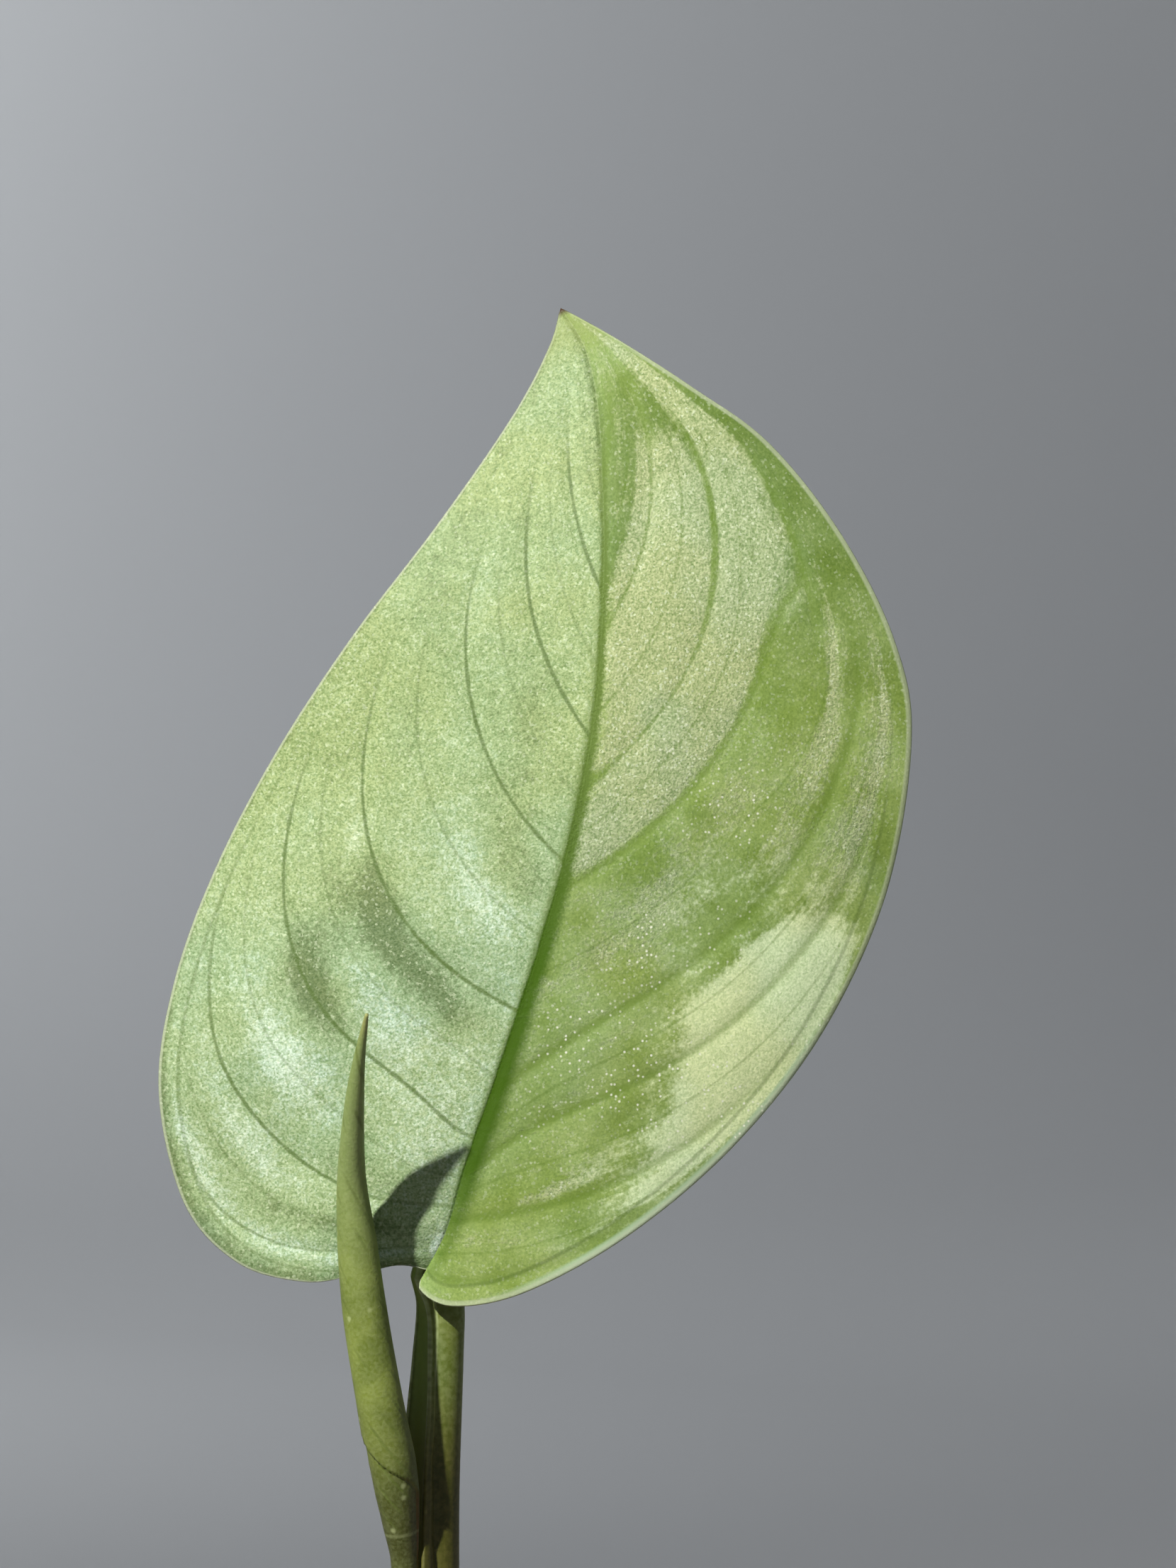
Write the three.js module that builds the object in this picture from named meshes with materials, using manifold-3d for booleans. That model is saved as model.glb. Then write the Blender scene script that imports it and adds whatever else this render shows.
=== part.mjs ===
// A young scindapsus in a plain clay pot, in millimetres, +Z up.
// The origin is the middle of the pot's foot, on the surface that it stands on.
// A short length of old vine lies half buried in the mix. Its bud has grown a shoot, which carries one open
// leaf on a grooved stalk and the next leaf, still rolled into a spear, beside it.
import * as THREE from "three";
import { mergeVertices } from "three/addons/utils/BufferGeometryUtils.js";
import Module from "manifold-3d";

const wasm = await Module();
wasm.setup();

// ---- driving dimensions ----

const CLEARANCE = 0.3; // between two pieces that touch

const POT_HEIGHT = 80;
const POT_RIM_RADIUS = 45;
const POT_RIM_HEIGHT = 17;
const POT_SHOULDER_RADIUS = 41;
const POT_FOOT_RADIUS = 30;
const POT_WALL = 4;
const POT_FLOOR = 5;
const DRAIN_RADIUS = 6;
const POT_SIDES = 48;

const MIX_LEVEL = 68; // where the mix meets the wall
const MIX_MOUND = 2; // how much higher it stands in the middle

const LEAF_BASE = new THREE.Vector3(0, 0, 132); // where the stalk meets the blade
const BLADE_THICKNESS = 0.45;
const MIDRIB_RELIEF = 0.9; // how far the midrib stands out of the blade's back, at the base
const NODE_HEIGHT = 88; // the shoot's own node, where the leaf stalks start
const STALK_RADIUS = 1.55;
const SPEAR_STALK_RADIUS = 0.8;
const SHOOT_RADIUS = 2.1;
const OLD_VINE_RADIUS = 3;

// ---- colours and finishes ----

function finish(color, roughness) {
  return new THREE.MeshStandardMaterial({ color, roughness, metalness: 0 });
}

const CLAY = finish(0xb4693f, 0.9);
const MIX = finish(0x3b2a1e, 1);
const BARK = finish(0x6f4527, 0.95);
const PERLITE = finish(0xe6e2d8, 0.95);
const OLD_VINE = finish(0x7b7a45, 0.7);
const ROOT = finish(0xc9b48a, 0.85);
const HUSK = finish(0xa9885a, 0.8);
const SHOOT = finish(0x7d8b3e, 0.5);
const SPEAR = finish(0x7c8945, 0.45);
const BLADE = finish(0xa9c184, 0.4);

// ---- geometry helpers ----

/** A geometry from faces listed as triples of points. */
function fromTriangles(triangles) {
  const positions = triangles.flatMap((triangle) => triangle.flatMap((point) => point.toArray()));
  const geometry = new THREE.BufferGeometry();
  geometry.setAttribute("position", new THREE.Float32BufferAttribute(positions, 3));
  return geometry;
}

/** Two triangles for the quad a, b, c, d, in order round its edge. */
function quad(a, b, c, d) {
  return [
    [a, b, c],
    [a, c, d],
  ];
}

/**
 * A solid swept along a curve. sectionAt(share) gives the outline, anticlockwise, as points in the plane
 * across the curve there: x runs towards the part's +X and y towards its -Y.
 */
function sweep(curve, sectionAt, steps) {
  const rings = [];
  const outlines = [];
  for (let i = 0; i <= steps; i++) {
    const share = i / steps;
    const centre = curve.getPointAt(share);
    const along = curve.getTangentAt(share);
    const side = new THREE.Vector3(1, 0, 0).projectOnPlane(along);
    if (side.length() < 0.2) side.set(0, 0, 1).projectOnPlane(along);
    side.normalize();
    const front = new THREE.Vector3().crossVectors(side, along);
    const outline = sectionAt(share);
    outlines.push(outline);
    rings.push(outline.map((p) => centre.clone().addScaledVector(side, p.x).addScaledVector(front, p.y)));
  }
  const triangles = [];
  for (let i = 0; i < steps; i++) {
    const [low, high] = [rings[i], rings[i + 1]];
    low.forEach((point, k) => {
      const next = (k + 1) % low.length;
      triangles.push(...quad(point, high[k], high[next], low[next]));
    });
  }
  const lid = (ring, outline, turned) =>
    THREE.ShapeUtils.triangulateShape(outline, []).forEach((face) => {
      const [a, b, c] = face.map((k) => ring[k]);
      triangles.push(turned ? [a, c, b] : [a, b, c]);
    });
  lid(rings[0], outlines[0], false);
  lid(rings[steps], outlines[steps], true);
  return fromTriangles(triangles);
}

/** A round outline. */
function circle(radius, sides) {
  return Array.from({ length: sides }, (_, k) => {
    const angle = (2 * Math.PI * k) / sides;
    return new THREE.Vector2(radius * Math.cos(angle), radius * Math.sin(angle));
  });
}

/** The value at x of a line through [x, y] pairs. */
function interpolate(pairs, x) {
  const next = pairs.findIndex(([at]) => at >= x);
  if (next <= 0) return pairs.at(next < 0 ? -1 : 0)[1];
  const [x0, y0] = pairs[next - 1];
  const [x1, y1] = pairs[next];
  return THREE.MathUtils.mapLinear(x, x0, x1, y0, y1);
}

function toManifold(geometry) {
  const bare = geometry.clone();
  bare.deleteAttribute("normal");
  bare.deleteAttribute("uv");
  const merged = mergeVertices(bare, 1e-3);
  return new wasm.Manifold(
    new wasm.Mesh({
      numProp: 3,
      vertProperties: merged.attributes.position.array,
      triVerts: new Uint32Array(merged.index.array),
    }),
  );
}

function fromManifold(solid) {
  const { vertProperties, triVerts } = solid.getMesh();
  const geometry = new THREE.BufferGeometry();
  geometry.setAttribute("position", new THREE.BufferAttribute(new Float32Array(vertProperties), 3));
  geometry.setIndex(new THREE.BufferAttribute(triVerts, 1));
  return geometry;
}

const plant = new THREE.Group();

function add(name, geometry, material) {
  const mesh = new THREE.Mesh(geometry, material);
  mesh.name = name;
  plant.add(mesh);
  return mesh;
}

// ---- pot: a thrown clay pot with a band round its rim and one drain hole ----

function potProfile() {
  const inside = POT_RIM_RADIUS - POT_WALL;
  return [
    [DRAIN_RADIUS, 0],
    [POT_FOOT_RADIUS - 1, 0],
    [POT_FOOT_RADIUS, 1],
    [POT_SHOULDER_RADIUS, POT_HEIGHT - POT_RIM_HEIGHT],
    [POT_RIM_RADIUS - 1, POT_HEIGHT - POT_RIM_HEIGHT],
    [POT_RIM_RADIUS, POT_HEIGHT - 1.5],
    [POT_RIM_RADIUS - 1.5, POT_HEIGHT],
    [inside + 1, POT_HEIGHT],
    [inside, POT_HEIGHT - 1],
    [POT_SHOULDER_RADIUS - POT_WALL, POT_HEIGHT - POT_RIM_HEIGHT],
    [POT_FOOT_RADIUS - POT_WALL, POT_FLOOR],
    [DRAIN_RADIUS, POT_FLOOR],
    [DRAIN_RADIUS, 0],
  ].map(([radius, height]) => new THREE.Vector2(radius, height));
}

function potGeometry() {
  return new THREE.LatheGeometry(potProfile(), POT_SIDES).rotateX(Math.PI / 2);
}

/** The radius of the pot's inside at a height. */
function insideRadius(height) {
  return interpolate(
    [
      [POT_FLOOR, POT_FOOT_RADIUS - POT_WALL],
      [POT_HEIGHT - POT_RIM_HEIGHT, POT_SHOULDER_RADIUS - POT_WALL],
      [POT_HEIGHT, POT_RIM_RADIUS - POT_WALL],
    ],
    height,
  );
}

// ---- old vine: a rooted cutting of one node, lying half buried on a slant ----

const VINE_CURVE = new THREE.CatmullRomCurve3([
  new THREE.Vector3(-19, 5, 60),
  new THREE.Vector3(-8, 2.5, 65),
  new THREE.Vector3(0, 1.5, 68),
  new THREE.Vector3(8, 1.5, 71.5),
  new THREE.Vector3(17, 2, 76.5),
]);
const VINE_RING = 0.53; // the share along it where its node stands out as a ring
const VINE_NODE = VINE_CURVE.getPointAt(VINE_RING);
const VINE_UP = new THREE.Vector3(0, 0, 1).projectOnPlane(VINE_CURVE.getTangentAt(VINE_RING)).normalize();

function vineRadius(share) {
  const ring = Math.exp(-(((share - VINE_RING) / 0.05) ** 2));
  return OLD_VINE_RADIUS * (1 - 0.12 * share + 0.16 * ring);
}

function vineGeometry(grown = 0) {
  return sweep(VINE_CURVE, (share) => circle(vineRadius(share) + grown, 12), 16);
}

// ---- shoot: the new stem, from the old vine's bud up to the leaf's node ----

const BUD = VINE_NODE.clone().addScaledVector(VINE_UP, vineRadius(VINE_RING) + CLEARANCE);
const SHOOT_CURVE = new THREE.CatmullRomCurve3([
  BUD,
  BUD.clone().addScaledVector(VINE_UP, 3),
  new THREE.Vector3(-1.6, 0.6, 81),
  new THREE.Vector3(-0.6, 0.1, NODE_HEIGHT),
]);

function shootRadius(share) {
  const swelling = Math.exp(-(((share - 0.93) / 0.09) ** 2));
  return SHOOT_RADIUS * (1.1 - 0.15 * share + 0.14 * swelling);
}

function shootGeometry() {
  return sweep(SHOOT_CURVE, (share) => circle(shootRadius(share), 14), 14);
}

// ---- husk: the dry first bract, a split sleeve round the foot of the shoot ----

const HUSK_WALL = 0.4;
const HUSK_FLARE = 0.5; // how much wider the sleeve is at its top

/** A split ring, open on its -X side over twice openHalf radians. */
function splitRing(inner, wall, openHalf, points) {
  const angles = Array.from({ length: points }, (_, k) =>
    THREE.MathUtils.mapLinear(k, 0, points - 1, Math.PI + openHalf, 3 * Math.PI - openHalf),
  );
  const arc = (radius) => angles.map((a) => new THREE.Vector2(radius * Math.cos(a), radius * Math.sin(a)));
  return [...arc(inner + wall), ...arc(inner).reverse()];
}

function huskGeometry() {
  const route = [0.1, 0.3, 0.5, 0.7, 0.85].map((share) => SHOOT_CURVE.getPointAt(share));
  const curve = new THREE.CatmullRomCurve3(route);
  const inner = 1.14 * SHOOT_RADIUS + CLEARANCE;
  const section = (share) => splitRing(inner + HUSK_FLARE * share, HUSK_WALL, 0.5 + 2.1 * share ** 1.5, 14);
  return sweep(curve, section, 10);
}

// ---- rolled leaf: the next leaf, rolled into a spear on its own thin stalk out of the groove ----

const SPEAR_CURVE = new THREE.CatmullRomCurve3([
  new THREE.Vector3(-2.3, -0.9, NODE_HEIGHT + CLEARANCE),
  new THREE.Vector3(-1.6, -0.55, 100),
  new THREE.Vector3(-1.38, -0.7, 108),
  new THREE.Vector3(-1.33, -1, 113.4),
  new THREE.Vector3(-1.9, -1.9, 119),
  new THREE.Vector3(-2.83, -2.65, 124.5),
  new THREE.Vector3(-3.66, -2.98, 129.6),
  new THREE.Vector3(-4.16, -3.3, 134.2),
  new THREE.Vector3(-4.44, -4.05, 137.8),
  new THREE.Vector3(-4.28, -5.7, 141.5),
  new THREE.Vector3(-3.9, -7.6, 145),
  new THREE.Vector3(-3.3, -9.5, 148.3),
]);
const SPEAR_RADII = [
  [0, SPEAR_STALK_RADIUS],
  [0.42, SPEAR_STALK_RADIUS],
  [0.5, 1.2],
  [0.57, 1.46],
  [0.67, 1.4],
  [0.75, 1.25],
  [0.81, 0.95],
  [0.87, 0.7],
  [0.94, 0.4],
  [1, 0.12],
];

function spearGeometry() {
  return sweep(SPEAR_CURVE, (share) => circle(interpolate(SPEAR_RADII, share), 12), 40);
}

// ---- leaf stalk: grooved, with a thin sheath wing on each side of the groove round the spear's stalk ----

const STALK_CURVE = new THREE.CatmullRomCurve3([
  new THREE.Vector3(-0.4, 0.2, NODE_HEIGHT + CLEARANCE),
  new THREE.Vector3(0, 0.5, 98),
  new THREE.Vector3(0.4, 1, 110),
  new THREE.Vector3(0.55, 1.5, 118),
  new THREE.Vector3(0.83, 2.3, 126),
  new THREE.Vector3(0.9, 2.5, 129.6),
  new THREE.Vector3(0.45, 2.1, 131.8),
]);
const SHEATH_WALL = 0.35;
// The groove and its wings, as [share of the stalk's length, value].
const GROOVE_FOOT = SPEAR_STALK_RADIUS + CLEARANCE;
const GROOVE_RADII = [[0, GROOVE_FOOT], [0.6, 1.15], [0.82, 0.95], [0.92, 0.7], [1, 0.4]];
const GROOVE_FACINGS = [[0, 150], [0.3, 146], [0.45, 139], [0.57, 133], [0.7, 140], [1, 150]]; // degrees
const OPEN_HALVES = [[0, 0.7], [0.5, 1.2], [0.75, 1.7], [1, 2]]; // radians
const SECTION_RAYS = 19;

/**
 * The stalk's outline. A ray turned about the groove's centre runs along the groove's wall and back round
 * the outside of the stalk or of its wings, whichever is further out.
 */
function stalkSection(share) {
  const radius = STALK_RADIUS * interpolate([[0, 1.12], [0.55, 1.02], [0.9, 0.9], [1, 0.95]], share);
  const groove = interpolate(GROOVE_RADII, share);
  const openHalf = interpolate(OPEN_HALVES, share);
  const facing = THREE.MathUtils.degToRad(interpolate(GROOVE_FACINGS, share));
  const offset = radius + interpolate([[0, 0.4], [1, 0.3]], share);
  const reach = (turn) => {
    const across = offset * Math.sin(turn);
    const chord = Math.sqrt(Math.max(radius ** 2 - across ** 2, 0));
    return Math.max(chord - offset * Math.cos(turn), groove + SHEATH_WALL);
  };
  const turns = Array.from({ length: SECTION_RAYS }, (_, k) =>
    THREE.MathUtils.mapLinear(k, 0, SECTION_RAYS - 1, openHalf, 2 * Math.PI - openHalf),
  );
  const stalkCentre = new THREE.Vector2();
  const grooveCentre = new THREE.Vector2(offset, 0);
  const at = (turn, distance) => {
    const point = new THREE.Vector2(offset + distance, 0);
    return point.rotateAround(grooveCentre, turn).rotateAround(stalkCentre, facing);
  };
  const outside = turns.map((turn) => at(turn, reach(turn)));
  const inside = turns.map((turn) => at(turn, groove));
  return [...outside, ...inside.reverse()];
}

function stalkGeometry() {
  return sweep(STALK_CURVE, stalkSection, 26);
}

// ---- leaf blade: a lopsided heart that bends back on both sides of its midrib ----

// The outlines run in the plane of the open leaf, across and up from the stalk's end, to the same tip.
const LEAF_TIP = [8.3, 60.1];
const MIDRIB = [
  ...[[0, 0], [1.3, 2.6], [2.5, 6.6], [4.5, 12.3], [7, 19.8], [9.2, 27.7]],
  ...[[10.6, 35.6], [11, 43.6], [10.9, 49.7], [10.6, 54.1], [9.8, 57.6], LEAF_TIP],
];
const LEFT_EDGE = [
  ...[[0, 0], [-1.8, 0.3], [-4.5, -0.3], [-7.6, -0.7], [-11.8, 0.4], [-15.2, 4], [-16.8, 11], [-15.8, 18]],
  ...[[-13.2, 25.1], [-9.5, 32.1], [-4.8, 39.2], [0.5, 46.2], [5.3, 53.2], [7.6, 57.6], LEAF_TIP],
];
const RIGHT_EDGE = [
  ...[[0, 0], [-0.4, -1.2], [1.7, -2.2], [6.2, -1.3], [12.6, 2.2], [19, 7.5], [24.6, 14.5], [28.7, 23.3]],
  ...[[30.3, 33], [29.2, 39.2], [25.9, 45.8], [21.4, 51.5], [16.6, 55], [11.8, 58.1], LEAF_TIP],
];

function outline(points) {
  return new THREE.SplineCurve(points.map(([across, up]) => new THREE.Vector2(across, up)));
}

const MIDRIB_CURVE = outline(MIDRIB);
const EDGE_CURVES = { left: outline(LEFT_EDGE), right: outline(RIGHT_EDGE) };

/** How far the blade stands back of its base: the midrib arches forwards and each half bends back. */
function bladeDepth(share, distance, side) {
  const arch = -2.6 * Math.sin(Math.PI * share ** 0.8) + 4.5 * share ** 3;
  const opened = THREE.MathUtils.smoothstep(share, 0, 0.25);
  const [slope, curl] = side === "left" ? [0.1, 0.005] : [0.16, 0.005];
  const bend = slope * distance + curl * distance ** 2;
  const wave = 0.35 * Math.sin(14 * share + (side === "left" ? 0.5 : 2)) * (distance / 20) ** 2;
  return arch + opened * bend + (1 - opened) * 0.02 * distance + wave;
}

/** A point on the blade's face: share runs from base to tip, reach from the midrib to the edge. */
function bladePoint(share, reach, side) {
  const rib = MIDRIB_CURVE.getPointAt(share);
  const flat = rib.clone().lerp(EDGE_CURVES[side].getPointAt(share), reach);
  const depth = bladeDepth(share, flat.distanceTo(rib), side);
  return new THREE.Vector3(flat.x, depth, flat.y).add(LEAF_BASE);
}

/** The blade's thickness: the midrib stands out of its back, and it thins towards the edge and the tip. */
function bladeThickness(share, reach) {
  const midrib = MIDRIB_RELIEF * (1 - share) ** 1.3 * Math.exp(-((reach / 0.09) ** 2));
  return BLADE_THICKNESS * (1 - 0.35 * reach) + midrib;
}

function bladeGeometry() {
  const rows = 26;
  const reaches = [1, 0.85, 0.65, 0.45, 0.25, 0.1];
  const columns = [
    ...reaches.map((reach) => ["left", reach]),
    ["left", 0],
    ...reaches.toReversed().map((reach) => ["right", reach]),
  ];
  const face = [];
  const back = [];
  for (let row = 0; row <= rows; row++) {
    const share = row / rows;
    const front = columns.map(([side, reach]) => bladePoint(share, reach, side));
    face.push(front);
    const thickness = columns.map(([, reach]) => new THREE.Vector3(0, bladeThickness(share, reach), 0));
    back.push(front.map((point, k) => point.clone().add(thickness[k])));
  }
  const triangles = [];
  const last = columns.length - 1;
  for (let row = 0; row < rows; row++) {
    for (let k = 0; k < last; k++) {
      triangles.push(...quad(face[row][k], face[row][k + 1], face[row + 1][k + 1], face[row + 1][k]));
      triangles.push(...quad(back[row][k], back[row + 1][k], back[row + 1][k + 1], back[row][k + 1]));
    }
    triangles.push(...quad(face[row][0], face[row + 1][0], back[row + 1][0], back[row][0]));
    triangles.push(...quad(face[row][last], back[row][last], back[row + 1][last], face[row + 1][last]));
  }
  return fromTriangles(triangles);
}

// ---- roots: an air root that dips into the mix, and the buried ones ----

const AIR_ROOT_RADIUS = 1.1;
const AIR_ROOT_CURVE = new THREE.CatmullRomCurve3([
  new THREE.Vector3(2.6, -2.2, 70.4),
  new THREE.Vector3(4.2, -5.2, 72.2),
  new THREE.Vector3(6.2, -8.6, 71.6),
  new THREE.Vector3(7.4, -10.6, 67),
  new THREE.Vector3(7.8, -11.4, 60),
]);
const ROOT_COUNT = 6;
const ROOT_RADIUS = 0.95;

function airRootGeometry(grown = 0) {
  return sweep(AIR_ROOT_CURVE, (share) => circle(AIR_ROOT_RADIUS * (1 - 0.35 * share) + grown, 8), 14);
}

/** One buried root: it leaves the underside of the old vine's node and spreads out and down with a sway. */
function rootGeometry(index, grown = 0) {
  // Round the vine, from its back under it to its front.
  const turn = (Math.PI * (index + 0.5)) / ROOT_COUNT;
  const share = VINE_RING + (index % 2 ? 0.055 : -0.055);
  const out = VINE_UP.clone().multiplyScalar(-Math.sin(turn)).add(new THREE.Vector3(0, Math.cos(turn), 0));
  const away = vineRadius(share) + CLEARANCE - 2 * grown;
  const start = VINE_CURVE.getPointAt(share).addScaledVector(out, away);
  const bearing = Math.PI / 2 + (index % 2 ? -turn : turn);
  const points = [start, start.clone().addScaledVector(out, 2 + 2 * grown)];
  for (let step = 1; step <= 5; step++) {
    const sway = bearing + 0.25 * Math.sin(1.7 * step + index);
    const spread = 4.2 * step;
    const drop = 2.2 * step + 1.2 * step ** 1.4 + (index % 3) * step;
    const away = new THREE.Vector3(spread * Math.cos(sway), spread * Math.sin(sway), -drop);
    points.push(points[1].clone().add(away));
  }
  const radiusAt = (distance) => ROOT_RADIUS * (1 - 0.55 * distance) + grown;
  return sweep(new THREE.CatmullRomCurve3(points), (distance) => circle(radiusAt(distance), 6), 16);
}

// ---- chips of bark and grains of perlite, bedded in the top of the mix ----

const BARK_CHIPS = 10;
const PERLITE_GRAINS = 10;

function mixHeight(x, y) {
  const radius = Math.hypot(x, y);
  const mound = MIX_MOUND * Math.cos((Math.PI / 2) * Math.min(radius / insideRadius(MIX_LEVEL), 1));
  return MIX_LEVEL + mound + 0.35 * Math.sin(0.5 * x) * Math.cos(0.43 * y);
}

/** A bedded piece: its place, its turn and its half sizes, spaced by the golden angle. */
function bedded(slot, halves) {
  const share = (slot + 0.5) / (BARK_CHIPS + PERLITE_GRAINS);
  const turn = slot * THREE.MathUtils.degToRad(137.508) + 0.5;
  const radius = THREE.MathUtils.lerp(12.5, 32, Math.sqrt(share));
  const [x, y] = [radius * Math.cos(turn), radius * Math.sin(turn)];
  const random = (salt) => THREE.MathUtils.seededRandom(17 * slot + salt + 1);
  return {
    halves: halves.map((half, axis) => half * (0.85 + 0.3 * random(axis))),
    position: new THREE.Vector3(x, y, mixHeight(x, y) + 0.25 * halves[2]),
    rotation: new THREE.Euler(0.5 * random(4) - 0.25, 0.5 * random(5) - 0.25, 2 * Math.PI * random(6)),
    random,
  };
}

/** A chip or grain: a rough solid with each of its corners pushed in or out a little. */
function pieceGeometry(base, piece, grown) {
  const geometry = mergeVertices(stripped(base), 1e-3);
  const corners = geometry.attributes.position;
  for (let k = 0; k < corners.count; k++) {
    const corner = new THREE.Vector3().fromBufferAttribute(corners, k);
    const push = 0.82 + 0.36 * piece.random(20 + k);
    corner.multiplyScalar(push);
    corner.multiply(new THREE.Vector3(...piece.halves.map((half) => half + grown)));
    corners.setXYZ(k, corner.x, corner.y, corner.z);
  }
  return geometry;
}

function stripped(geometry) {
  const bare = geometry.clone();
  bare.deleteAttribute("normal");
  bare.deleteAttribute("uv");
  return bare;
}

const CHIP_BASE = new THREE.BoxGeometry(2, 2, 2);
const GRAIN_BASE = new THREE.IcosahedronGeometry(1.15, 0);

const bedPieces = [
  ...Array.from({ length: BARK_CHIPS }, (_, k) => ({
    name: `bark_chip_${k + 1}`,
    base: CHIP_BASE,
    material: BARK,
    bed: bedded(2 * k, [4.2, 2.6, 1.2]),
  })),
  ...Array.from({ length: PERLITE_GRAINS }, (_, k) => ({
    name: `perlite_grain_${k + 1}`,
    base: GRAIN_BASE,
    material: PERLITE,
    bed: bedded(2 * k + 1, [2.0, 1.8, 1.6]),
  })),
];

// ---- potting mix: fills the pot up to the mound, and closes round what grows or lies in it ----

function mixBodyGeometry() {
  const bottom = POT_FLOOR + CLEARANCE;
  const shoulder = POT_HEIGHT - POT_RIM_HEIGHT;
  const rings = 6;
  const profile = [
    new THREE.Vector2(0, bottom),
    new THREE.Vector2(insideRadius(bottom) - CLEARANCE, bottom),
    new THREE.Vector2(insideRadius(shoulder) - CLEARANCE, shoulder),
  ];
  for (let ring = rings; ring >= 0; ring--) {
    profile.push(new THREE.Vector2(((insideRadius(MIX_LEVEL) - CLEARANCE) * ring) / rings, MIX_LEVEL));
  }
  const geometry = mergeVertices(stripped(new THREE.LatheGeometry(profile, 36).rotateX(Math.PI / 2)), 1e-3);
  const points = geometry.attributes.position;
  for (let k = 0; k < points.count; k++) {
    if (points.getZ(k) > MIX_LEVEL - 0.1) points.setZ(k, mixHeight(points.getX(k), points.getY(k)));
  }
  return geometry;
}

function mixGeometry() {
  let mix = toManifold(mixBodyGeometry());
  const bury = (geometry) => (mix = mix.subtract(toManifold(geometry)));
  bury(vineGeometry(CLEARANCE));
  bury(airRootGeometry(CLEARANCE));
  for (let k = 0; k < ROOT_COUNT; k++) bury(rootGeometry(k, CLEARANCE));
  for (const { base, bed } of bedPieces) {
    const hollow = pieceGeometry(base, bed, CLEARANCE + 0.1);
    hollow.applyMatrix4(new THREE.Matrix4().makeRotationFromEuler(bed.rotation).setPosition(bed.position));
    bury(hollow);
  }
  return fromManifold(mix);
}

// ---- the whole plant ----

add("clay_pot", potGeometry(), CLAY);
add("potting_mix", mixGeometry(), MIX);
add("old_vine", vineGeometry(), OLD_VINE);
add("shoot", shootGeometry(), SHOOT);
add("husk", huskGeometry(), HUSK);
add("leaf_stalk", stalkGeometry(), SHOOT);
add("leaf_blade", bladeGeometry(), BLADE);
add("rolled_leaf", spearGeometry(), SPEAR);
add("air_root", airRootGeometry(), ROOT);
for (let k = 0; k < ROOT_COUNT; k++) add(`root_${k + 1}`, rootGeometry(k), ROOT);
for (const { name, base, material, bed } of bedPieces) {
  const mesh = add(name, pieceGeometry(base, bed, 0), material);
  mesh.position.copy(bed.position);
  mesh.rotation.copy(bed.rotation);
}

export default plant;
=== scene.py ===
"""A young scindapsus in a clay pot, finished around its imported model. Metres, +Z up, the leaf faces -Y."""
import math
from types import SimpleNamespace

import bmesh
import bpy
import numpy as np
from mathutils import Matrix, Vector, noise


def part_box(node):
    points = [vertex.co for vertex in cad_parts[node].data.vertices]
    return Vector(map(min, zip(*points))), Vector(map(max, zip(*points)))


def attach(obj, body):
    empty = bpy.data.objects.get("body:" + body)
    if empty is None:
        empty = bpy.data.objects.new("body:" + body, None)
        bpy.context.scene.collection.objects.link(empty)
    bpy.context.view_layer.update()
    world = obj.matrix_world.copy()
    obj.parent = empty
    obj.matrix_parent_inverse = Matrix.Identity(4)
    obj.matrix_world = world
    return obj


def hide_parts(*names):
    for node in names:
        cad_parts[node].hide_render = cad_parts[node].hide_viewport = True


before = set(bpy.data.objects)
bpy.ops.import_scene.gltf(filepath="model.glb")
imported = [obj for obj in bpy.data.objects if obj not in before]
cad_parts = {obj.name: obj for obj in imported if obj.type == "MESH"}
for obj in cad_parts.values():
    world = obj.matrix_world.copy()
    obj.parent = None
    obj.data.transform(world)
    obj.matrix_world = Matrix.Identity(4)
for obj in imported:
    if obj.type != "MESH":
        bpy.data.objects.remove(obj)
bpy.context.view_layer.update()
MM = 0.001
BODY = "root"

# ---- camera ----
# It stands level with the middle of the open leaf and square to its face, close enough for the leaf to fill
# the view.

VIEW_DISTANCE = 320 * MM
VIEW_HEIGHT = 97.3 * MM  # what the view shows at the leaf, from top to bottom
VIEW_SHIFT = Vector((3.3, 0, 1.2)) * MM  # from the middle of the leaf to the middle of the view
SENSOR = 36
leaf_low, leaf_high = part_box("leaf_blade")
view_middle = (leaf_low + leaf_high) / 2 + VIEW_SHIFT

camera_data = bpy.data.cameras.new("camera")
camera_data.sensor_width = SENSOR
camera_data.lens = SENSOR * VIEW_DISTANCE / VIEW_HEIGHT
camera = bpy.data.objects.new("camera", camera_data)
camera.location = (view_middle.x, -VIEW_DISTANCE, view_middle.z)
camera.rotation_euler = (math.radians(90), 0, 0)
bpy.context.collection.objects.link(camera)
bpy.context.scene.camera = camera

# ---- studio ----
# A pale grey floor that curves up into a wall all round, one small bright lamp high on the left, in front of
# the plant, and broad soft lamps for the rest.

STAGE_GREY = (0.36, 0.364, 0.372, 1)
STAGE_SHADE = 0.97  # how dark the floor's faint clouds are
STAGE_PROFILE = [(0, 0), (1.5, 0), (1.9, 0.04), (2.25, 0.2), (2.5, 0.55), (2.6, 1.1), (2.6, 2.6)]
SKY = (0.72, 0.76, 0.82, 1)
SKY_STRENGTH = 0.08
leaf_base = Vector((0, 0, leaf_low.z + 2.2 * MM))
plant_middle = Vector((0, 0, 0.12))
KEY_DIRECTION = Vector((-0.45, -0.61, 0.64)).normalized()
KEY_DISTANCE = 1.0
KEY_TARGET = leaf_base + Vector((4, 0, 20)) * MM
KEY_WATTS = 81
KEY_WHITE = (1, 0.975, 0.92)
SOFT_WHITE = (0.95, 0.98, 1)
GLOW_PLACES = [("left_glow", -1, -0.1), ("right_glow", 1, -0.1), ("front_glow", 0.2, -1)]
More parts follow.
